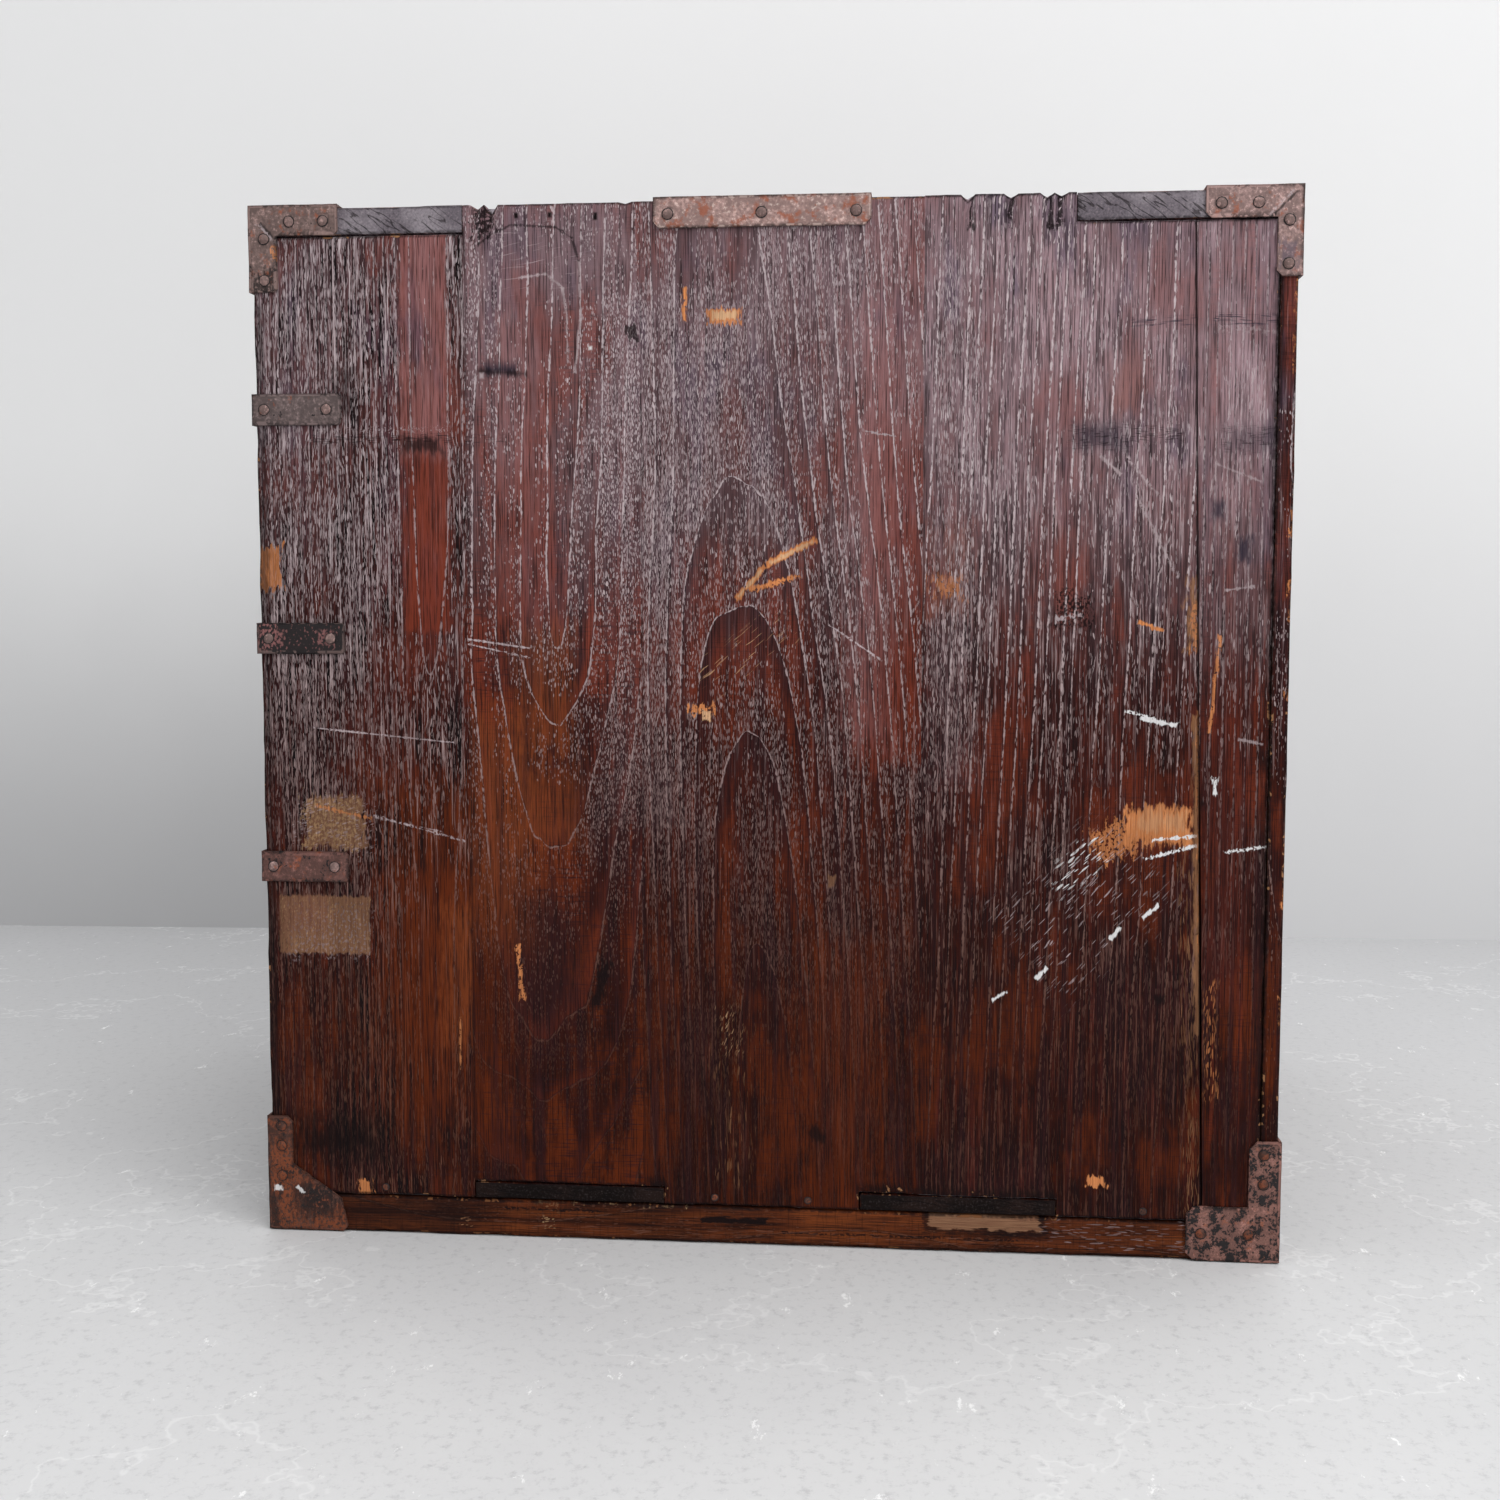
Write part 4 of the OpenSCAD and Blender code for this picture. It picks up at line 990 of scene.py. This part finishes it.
# %% Woods of the other boards
chance_rings("Rings of wide boards", 26.0, 16.0)
chance_rings("Rings of narrow boards", 17.0, 7.0)
chance_rings("Rings of the top", 21.0, 9.0, 0.09)
TOP = 528  # across a board that lies flat counts y plus z, and the top board lies at this z
top_tones = [(0.0, TONES["umber"]), (0.5, TONES["brick"]), (1.0, paint(104, 78, 76))]
front_tones = [(0.0, paint(48, 18, 12)), (0.5, paint(78, 32, 23)), (1.0, paint(92, 50, 44))]
low_wood = [(0.0, paint(96, 47, 25)), (0.5, paint(98, 48, 24)), (1.0, paint(96, 60, 38))]
back_tones = [(0.0, paint(72, 44, 30)), (0.5, paint(98, 64, 44)), (1.0, paint(108, 80, 62))]
pale_tones = [(0.0, TONES["pale"]), (0.5, paint(204, 170, 130)), (1.0, paint(188, 152, 112))]
top_marks = [
    ("soot", TOP + 168, 0, 0.5, 215, 0, 0.3, 0.3, 0, 0.8),
    ("soot", TOP + 341, 0, 0.5, 215, 0, 0.3, 0.3, 0, 0.8),
    ("dust", TOP + 250, 30, 120, 150, 0, 40, 50, 0, 0.5, (25, 0.05, 0.9, 60)),
    ("bare", TOP + 420, -120, 9, 5, 0, 0.8, 9),
]
top_wood = wood_material("Top board", "X", "Rings of the top", dict(
    tones=top_tones, late=TONES["plum"], smooth=0.35, open=0.5, closed=0.1, dust_high=0.6, weather=0.45,
    veil=0.3, line=0.7, groove=0.4, bloom=0.5, fleck=0.2), top_marks)
shelf_wood = wood_material("Shelves", "X", "Rings of narrow boards", dict(
    tones=front_tones, late=TONES["plum"], smooth=0.3, open=0.4, closed=0.1, dust_high=0.6))
runner_marks = [
    ("soot", 221, 72, 12, 38, 0, 12, 10, 0, 0.6), ("soot", 222.5, 245, 1.7, 17, 0, 0.5, 1.5, 0, 0.95),
    ("soot", 224.5, 373, 5, 31, 0, 0.8, 3, 0, 0.7), ("straw", 225.5, 373, 3.6, 28, 0, 0.8, 3, 0, 0.9),
    ("soot", 225, 150, 0.6, 26, 0, 0.5, 1.2, 0.45, 0.9),
    ("soot", 217, 330, 0.6, 60, 0, 0.5, 1.2, 0.45, 0.8),
    ("tan", 217, 104, 2.2, 3, 0, 0.5, 2, 0, 1, (80, 0.5, 1.2, 5)),
    ("pale", 229, 142, 0.9, 6, 0, 0.5, 1.6, 0.35, 0.8),
    ("pale", 218, 148, 3.4, 3, 0, 0.5, 2, 0, 1, (75, 0.5, 1.2, 4)),
    ("tan", 226, 150, 1.6, 3, 0, 0.5, 3, 0, 1, (84, 0.5, 1, 5)),
    ("pale", 229, 190, 0.7, 30, 0, 0.6, 1.6, 0.58, 0.8),
    ("silt", 215, 260, 2.6, 120, 0, 1, 2, 0, 0.8, (88, 0.3, 0.8, 16)),
    ("dust", 220, 450, 8, 50, 0, 3, 6, 0, 0.4, (90, 0.2, 0.9, 10)),
]
runner_wood = wood_material("Runners", "Y", "Rings of narrow boards", dict(
    tones=low_wood, late=paint(60, 32, 20), smooth=0.4, open=0.15, closed=0.03, worn=0.36, dust_low=0.3,
    streak=paint(118, 62, 30), bare=paint(120, 78, 50), dark=paint(38, 18, 12), weather=0.15,
    low_glow=paint(128, 66, 32)), runner_marks)
back_wood = wood_material("Back boards", "Z", "Rings of wide boards", dict(
    tones=back_tones, late=paint(74, 46, 32), turned=True, open=0.35, closed=0.05, smooth=0.35, line=0.4,
    streak=paint(124, 80, 54), dark=paint(56, 34, 25), glow=paint(132, 88, 60), rough=0.6, weather=0.35,
    groove=0.35, specular=0.15))
edge_marks = [
    ("bare", 517.6, z, 1.1, long, 0, 0.6, 2.5, 0.4)
    for z, long in ((465, 26), (368, 6), (331, 10), (284, 4), (184, 5), (128, 7))
]
edge_wood = wood_material("Edges of the back boards", "Z", "Rings of narrow boards", dict(
    tones=SIDE_TONES, late=TONES["plum"], smooth=0.3, open=0.2, closed=0.05, weather=0.5), edge_marks)
front_marks = [
    ("soot", z, x, 15, 9, 0, 9, 9, 0, 0.5)
    for z in (461, 355, 238, 92) for x in (-55, 55)
]
front_marks += [
    ("bare", 322, -150, 2.5, 9, 0, 0.7, 4), ("bare", 205, 120, 2, 14, 0, 0.7, 4, 0.4),
    ("bare", 33, -60, 2, 12, 0, 0.7, 4),
    ("dust", 260, 0, 240, 190, 0, 40, 50, 0, 0.5, (70, 0.03, 0.8, 40)),
]
front_wood = wood_material("Drawer fronts", "X", "Rings of wide boards", dict(
    tones=front_tones, late=TONES["brick"], smooth=0.4, open=0.45, closed=0.08, worn=0.45, dust_high=0.7,
    line=0.8, groove=0.5, weather=0.15), front_marks)
drawer_wood = wood_material("Drawer boxes", "Y", "Rings of narrow boards", dict(
    tones=pale_tones, late=paint(178, 140, 100), dark=paint(168, 130, 92), streak=paint(214, 182, 142),
    glow=paint(214, 180, 140), deep=0.12, warm=0.4, fleck=0.15, fibre=0.08, smooth=0.3, weather=0.0,
    open=0.2, closed=0.02, groove=0.2, rough=0.65, worn=0.1, dust_low=0.2, dust_high=0.2, specular=0.2))
print("materials so far:", len(bpy.data.materials))


# %% Case boards
def case_board(node, materials, slot, spacing, end_axis, round_by=0.7, wear=(0.3, 0.8), body="case"):
    """A board with end grain on the faces along end_axis, and a third material on its x faces if given."""
    shape = merged_copy(node)
    slice_grid(shape, spacing)
    worn = round_outline(shape, round_by)
    wear_down(shape, worn, *wear)
    mark_faces(shape, end_axis, 1)
    if len(materials) == 3:
        mark_faces(shape, 0, 2)
    finish_piece(shape, node + "_worn", body, materials, slot, [node])


case_board("top_board", [top_wood, grey_end], "rail_wood", (14.0, 6.0, None), 0)
case_board("bottom_board", [shelf_wood, black_end], "end_grain", (14.0, 8.0, None), 0)
for side in ("right", "left"):
    case_board(f"{side}_runner", [runner_wood, grey_end], "rail_wood", (None, 6.0, 5.0), 1, 1.0, (0.4, 1.6))
for number in (1, 2, 3):
    case_board(f"shelf_{number}", [shelf_wood, grey_end], "rail_wood", (14.0, 25.0, None), 0)
    case_board(f"back_plank_{number}", [back_wood, grey_end, edge_wood], "side_wood", (12.0, None, 10.0), 2)
print("case boards made")

# %% [markdown]
# ## Drawers
# Each drawer rides on its own body. The front is finished like the case, the box behind it is pale, bare
# wood that only its owner sees.

# %% Drawer boards
for number in range(1, 5):
    body = f"drawer_{number}"
    case_board(f"{body}_front", [front_wood, grey_end], "side_wood", (12.0, None, 8.0), 0,
               0.8, (0.25, 0.6), body)
    for part, spacing, axis in (("right_side", (None, 20.0, 20.0), 1), ("left_side", (None, 20.0, 20.0), 1),
                                ("back", (20.0, None, 20.0), 0), ("bottom", (30.0, 30.0, None), 1)):
        case_board(f"{body}_{part}", [drawer_wood, drawer_wood], "drawer_wood", spacing, axis,
                   0.4, (0.05, 0.15), body)
print("drawer boards made")

# %% [markdown]
# ## Iron finishes
# One recipe makes all the iron: the rust group chooses between bare rust, an orange bloom and the last of
# the black coat. The fittings differ in how much of each they keep.

# %% Iron materials
def tinted(colour, share):
    """The same hue, lighter or darker."""
    return (*[min(1.0, level * share) for level in colour[:3]], 1.0)


def iron_material(name, black, orange, rust, grain=1.0, glow=paint(160, 84, 52), marks=()):
    """black and orange: how much black coat and orange bloom is left. rust: the tone under them."""
    material, wires, shader = new_material(name)
    point = wires.place_in_mm()
    rusted = wires.use("Rust", point=point, black=black, orange=orange, grain=(grain,) * 3)
    cloud = wires.noise(point, 0.09, 4.0, 0.65)
    base = wires.mix(wires.step(cloud, 0.35, 0.62), tinted(rust, 1.3), tinted(rust, 0.5))
    base = wires.mix(wires.times(rusted["Shade"], 0.6), tinted(rust, 0.35), base)
    base = wires.tint(base, tinted(rust, 1.8), rusted["Shade"], 0.75, 1.0, 0.45)
    base = wires.mix(wires.times(rusted["Glow"], 0.75), base, glow)
    base = wires.mix(rusted["Coat"], base, paint(34, 28, 29))
    _, y, z = wires.split(point)
    flat = wires.join(y, z)
    for tone, *numbers in marks:
        base = wires.mix(mark_mask(wires, flat, *numbers), base, TONES[tone])
    base, bare = wear_edges(wires, base, point, 0.52, 0.75)
    base = wires.mix(wires.times(bare, 0.4), base, tinted(rust, 1.6))
    wires.dress(shader, base, wires.step(rusted["Coat"], 0.0, 1.0, 0.62, 0.42), 0.3, rusted["Height"])
    return material


front_fold = [
    # The first two rows are painted shade and a painted highlight along the diagonal fold ridge, which the
    # iron's shape lacks; the others are a bare spot and a remnant of the black coat.
    ("soot", 11, 514, 9, 0.9, 135, 0.7, 1.5, 0, 0.8),
    ("dust", 9, 514.5, 8, 0.7, 135, 0.7, 1.8, 0.45, 0.55), ("bare", 13, 505, 2.5, 4, 0, 0.5, 5, 0.45, 0.8),
    ("soot", 7, 490, 6, 7, 0, 1.5, 8, 0.4, 0.8),
]
back_mitre = [
    # The first two rows are painted shade and a painted highlight along the edge of the mitred overlap,
    # which the iron's shape lacks.
    ("soot", 507, 517, 13, 0.6, 45, 0.4, 0.8, 0, 0.8),
    ("dust", 506, 518, 12, 0.5, 45, 0.5, 0.8, 0.42, 0.5), ("slate", 512, 497, 4, 6, 0, 2, 5, 0, 0.5),
]
strap_spots = [
    ("rose", 4, 312, 4, 7, 0, 0.5, 6, 0.5, 0.8), ("rose", 9, 312, 3.8, 3.8, 0, 1, 1.5, 0.45, 0.6),
    ("rose", 35, 312, 3.8, 3.8, 0, 1, 1.5, 0.45, 0.6), ("rose", 22, 311, 20, 6, 0, 0.5, 6, 0.64, 0.6),
]
foot_spots = [
    ("honey", 9, 22, 9, 26, 0, 4, 9, 0.46, 0.8), ("honey", 34, 6, 14, 6, 0, 3, 7, 0.46, 0.8),
    ("soot", 24, 17, 11, 9, 0, 5, 9, 0.38, 0.85), ("soot", 2, 10, 2.5, 9, 0, 1.5, 5, 0.3, 0.8),
    ("chalk", 4, 23, 1.6, 1.2, 0, 0.4, 1.6, 0, 0.9), ("chalk", 16, 22, 2.6, 0.8, -45, 0.3, 1.2, 0, 0.8),
]
edge_rust = iron_material("Rust of the top straps", 0.02, 0.42, paint(222, 182, 174))
pink_rust = iron_material("Rust of the front corners", 0.15, 0.35, paint(162, 134, 128), marks=front_fold)
light_rust = iron_material("Rust of the back corners", 0.08, 0.38, paint(202, 166, 160), marks=back_mitre)
nail_rust = iron_material("Rust of the nails", 0.0, 0.25, paint(176, 144, 138))
grey_strap = iron_material("Grey strap", 0.2, 0.2, paint(142, 122, 120))
painted_strap = iron_material("Black painted strap", 0.97, 0.0, paint(124, 102, 98), marks=strap_spots)
rusty_strap = iron_material("Rusty strap", 0.3, 0.35, paint(138, 96, 88))
foot_rust = iron_material("Flaking rust", 0.35, 0.5, paint(106, 68, 56), 1.2, paint(138, 72, 44),
                          marks=foot_spots)
back_foot_rust = iron_material("Mottled rust", 0.52, 0.3, paint(182, 130, 118), 1.5, paint(158, 92, 66))
black_iron = iron_material("Black iron", 0.85, 0.25, paint(70, 50, 44))
print("materials so far:", len(bpy.data.materials))

# %% [markdown]
# ## Straps and corner irons
# The smith cut each iron from sheet a millimetre and a half thick and hammered it flat, so its outline
# wavers and its face has shallow dents. The solids are sliced finely, their edges rounded by a third of a
# millimetre, and the wear pushes the dents in.

# %% Irons
BAND_TOP, BAND_HEIGHT = 0.44, 0.11  # in m: a rail strap's finish depends on the band that it lies in


def clip_corners(shape, width):
    """Cuts off the free corners of the sheet. Their edges are as long as the sheet is thick."""
    corners = [edge for edge in shape.edges
               if 1.0 * MM < edge.calc_length() < 2.0 * MM and edge.calc_face_angle_signed(0.0) > 1.2]
    bevel(shape, corners, width, 1, False)
    print("clipped corners:", len(corners))


def iron_piece(node, materials, slot, corner):
    shape = merged_copy(node)
    clip_corners(shape, corner)
    slice_grid(shape, (4.0, 4.0, 4.0))
    worn = round_outline(shape, 0.35)
    wear_down(shape, worn, 0.3, 0.45, 110.0)
    if len(materials) == 3:
        for face in shape.faces:
            face.material_index = min(2, int((BAND_TOP - face.calc_center_median().z) / BAND_HEIGHT))
    return finish_piece(shape, node + "_hammered", "case", materials, slot, [node])


IRONS = {
    "rail_straps": ([grey_strap, painted_strap, rusty_strap], "rusty_iron", 1.4),
    "top_edge_straps": ([edge_rust], "black_iron", 3.2),
    "top_front_corner_irons": ([pink_rust], "black_iron", 2.0),
    "top_back_corner_irons": ([light_rust], "black_iron", 3.0),
    "bottom_front_corner_irons": ([foot_rust], "rusty_iron", 3.0),
    "bottom_back_corner_irons": ([back_foot_rust], "rusty_iron", 4.0),
}
for node, (materials, slot, corner) in IRONS.items():
    piece = iron_piece(node, materials, slot, corner)
    print(piece.name, len(piece.data.polygons), "faces")

# %% [markdown]
# ## Nails
# Every iron is held by hand-forged nails with domed heads; flat heads hold the case itself. The solid
# model has one plain solid per nail. Each of its islands tells where a nail is and which way it points,
# and a squashed sphere with a hammered surface takes its place. Round it lies a thin dark ring of black
# iron, painted shade: the shadow that falls round a nail head.

# %% Nails
def islands(shape):
    """Groups of connected vertices, one for each nail, in the same order each run."""
    seen = set()
    for start in shape.verts:
        if start in seen:
            continue
        seen.add(start)
        group = [start]
        for vert in group:
            near = [v for v in (e.other_vert(vert) for e in vert.link_edges) if v not in seen]
            group += near
            seen.update(near)
        yield group


def nail_heads(node, radius, proud):
    """One hammered dome per nail, at the outer end of its shank."""
    source = merged_copy(node)
    chance = random.Random(7)
    heads = bmesh.new()
    for group in islands(source):
        low = Vector([min(v.co[a] for v in group) for a in range(3)])
        high = Vector([max(v.co[a] for v in group) for a in range(3)])
        size = high - low
        axis = max(range(3), key=lambda a: size[a])
        middle = (low + high) / 2
        wide = max(group, key=lambda v: (v.co - middle).length)
        outward = 1 if wide.co[axis] > middle[axis] else -1
        tip = middle.copy()
        tip[axis] = (high if outward > 0 else low)[axis]
        normal = Vector([outward if a == axis else 0 for a in range(3)])
        dome_head(heads, tip - normal * proud * MM, normal, radius, proud, chance)
    source.free()
    return heads


def dome_head(heads, seat, normal, radius, proud, chance):
    """A squashed, dented half ball on its seat, and round it a flat dark ring of painted shade."""
    turn = normal.to_track_quat("Z", "Y").to_matrix().to_4x4()
    spin = Matrix.Rotation(chance.uniform(0, 6), 4, "Z")
    squash = Matrix.Diagonal((radius * MM, radius * MM * chance.uniform(0.9, 1), proud * MM, 1))
    place = Matrix.Translation(seat) @ turn @ spin @ squash
    made = bmesh.ops.create_uvsphere(heads, u_segments=10, v_segments=6, radius=1.0, matrix=place)
    for vert in made["verts"]:
        dent = 0.5 + 0.5 * noise.noise(vert.co * 900)
        vert.co = seat + (vert.co - seat) * (1 - 0.16 * dent)
    # Painted shade: a flat disc of black iron round the head stands for the shadow ring that the head casts.
    wide = radius * 1.16 * MM
    flat = Matrix.Diagonal((wide, wide, 0.25 * MM, 1))
    shade_ring = bmesh.ops.create_uvsphere(
        heads, u_segments=10, v_segments=3, radius=1.0, matrix=Matrix.Translation(seat) @ turn @ flat
    )
    for face in {face for vert in shade_ring["verts"] for face in vert.link_faces}:
        face.material_index = 1


SPLASH_HEIGHT = 0.06  # nails below this, in m, rust like the feet
for node, radius, proud, rust in (("strap_nails", 3.0, 1.4, nail_rust), ("case_nails", 2.0, 0.4, foot_rust)):
    heads = nail_heads(node, radius, proud)
    heads.verts.layers.float.new("worn")
    for face in heads.faces:
        if face.material_index == 0 and face.calc_center_median().z < SPLASH_HEIGHT:
            face.material_index = 2
    # Black iron also colours the painted shade rings round the heads.
    materials = [rust, black_iron, foot_rust]
    piece = finish_piece(heads, node + "_forged", "case", materials, "rusty_iron", [node])
    print(piece.name, len(piece.data.polygons), "faces")

# %% [markdown]
# ## Pulls
# Each drawer has a bail that swings on two posts. The solids are already round, so the finish only smooths
# them, rounds the last sharp edges and lays black iron on them.

# %% Pulls
for number in range(1, 5):
    for part, body in (("pull_posts", "drawer"), ("pull_washers", "drawer"), ("bail", "bail")):
        node = f"drawer_{number}_{part}"
        shape = merged_copy(node)
        worn = round_outline(shape, 0.25)
        wear_down(shape, worn, 0.12, 0.1, 200.0)
        finish_piece(shape, node + "_forged", f"{body}_{number}", [black_iron], "black_iron", [node])
print("pulls made")

# %% [markdown]
# ## Floor, wall and light
# The chest stands on pale, scuffed concrete before a plaster wall. Both are stage pieces, not part of the
# chest, and both carry painted shade: the floor darkens toward the wall and the sides, the wall toward the
# floor. The wall lets the camera see through it from behind, so every side of the chest can be looked at.
# The world gives even light from all around, and two large soft lamps stand for the studio's windows.

# %% Floor and wall
def stage_sheet(name, size, matrix, material):
    shape = bmesh.new()
    bmesh.ops.create_grid(shape, x_segments=8, y_segments=8, size=size, matrix=matrix)
    mesh = bpy.data.meshes.new(name)
    shape.to_mesh(mesh)
    shape.free()
    mesh.materials.append(material)
    sheet = bpy.data.objects.new(name, mesh)
    bpy.context.scene.collection.objects.link(sheet)


concrete, wires, shader = new_material("Concrete floor")
ground = wires.place()
toward = wires.split(ground)[0]
cloud = wires.noise(ground, 2.2, 5.0, 0.6)
grit = wires.noise(ground, 160.0, 4.0, 0.75)
# Painted shade: the floor darkens toward the wall, and in the next tint away from the middle toward both
# sides.
base = wires.mix(wires.step(toward, -0.6, 0.7), paint(196, 196, 197), paint(222, 222, 222))
aside = wires.math("ABSOLUTE", wires.split(ground)[1])
base = wires.tint(base, paint(188, 188, 189), aside, 0.1, 0.7, 0.5)
base = wires.tint(base, paint(196, 196, 198), cloud, 0.35, 0.65, 0.35)
veins = wires.math("ABSOLUTE", wires.minus(wires.noise(ground, 3.4, 6.0, 0.62), 0.5))
base = wires.mix(wires.step(veins, 0.0, 0.006, 0.3, 0.0), base, paint(244, 244, 244))
base = wires.tint(base, paint(168, 168, 170), grit, 0.5, 0.72, 0.45)
scuffs = wires.noise(wires.vector("MULTIPLY", ground, (30.0, 60.0, 1.0)), 1.0, 6.0, 0.8)
base = wires.tint(base, paint(250, 250, 250), scuffs, 0.62, 0.67, 0.8)
wires.dress(shader, base, 0.55, 0.5, grit, 0.25, MM)

plaster, wires, shader = new_material("Plaster wall")
spot = wires.place()
cloud = wires.noise(spot, 1.3, 4.0, 0.5)
_, aside, height = wires.split(spot)
# Painted shade: the wall is darker near the floor, more so toward one side, with a cloudy border.
painted_shade_tone = wires.mix(wires.step(aside, -0.7, 0.6), paint(194, 194, 195), paint(214, 214, 215))
high_tone = wires.mix(cloud, paint(240, 240, 240), paint(247, 247, 247))
lift = wires.times_plus(wires.minus(cloud, 0.5), 0.3, height)
wires.feed(shader.inputs["Base Color"], wires.mix(wires.step(lift, -0.05, 0.55), painted_shade_tone, high_tone))
shader.inputs["Roughness"].default_value = 0.9
behind = wires.add("ShaderNodeNewGeometry").outputs["Backfacing"]
clear = wires.add("ShaderNodeBsdfTransparent")
both = wires.add("ShaderNodeMixShader", {"Fac": behind})
wires.feed(both.inputs[1], shader.outputs[0])
wires.feed(both.inputs[2], clear.outputs[0])
wires.feed(wires.tree.nodes["Material Output"].inputs["Surface"], both.outputs[0])

stage_sheet("floor", 12.0, Matrix.Identity(4), concrete)
wall_turn = Matrix.Rotation(math.radians(2.6), 4, "Z") @ Matrix.Rotation(math.radians(90), 4, "Y")
stage_sheet("wall", 8.0, Matrix.Translation((-0.678, 0.0, 7.99)) @ wall_turn, plaster)


# %% Light
def soft_lamp(name, place, target, size, power):
    lamp = bpy.data.lights.new(name, "AREA")
    lamp.shape = "SQUARE"
    lamp.size = size
    lamp.energy = power
    holder = bpy.data.objects.new(name, lamp)
    bpy.context.scene.collection.objects.link(holder)
    holder.location = place
    holder.rotation_mode = "QUATERNION"
    holder.rotation_quaternion = (Vector(target) - Vector(place)).to_track_quat("-Z", "Y")


soft_lamp("window", (2.4, 1.9, 2.4), (0, 0, 0.3), 2.4, 56)
soft_lamp("ceiling", (0.6, 0.4, 3.4), (0, 0, 0.3), 3.0, 66)
world = bpy.data.worlds.new("Studio air")
bpy.context.scene.world = world
world.use_nodes = True
air = world.node_tree.nodes["Background"].inputs
air["Color"].default_value = (0.86, 0.87, 0.88, 1)
air["Strength"].default_value = 0.5
print("lamps:", len(bpy.data.lights))
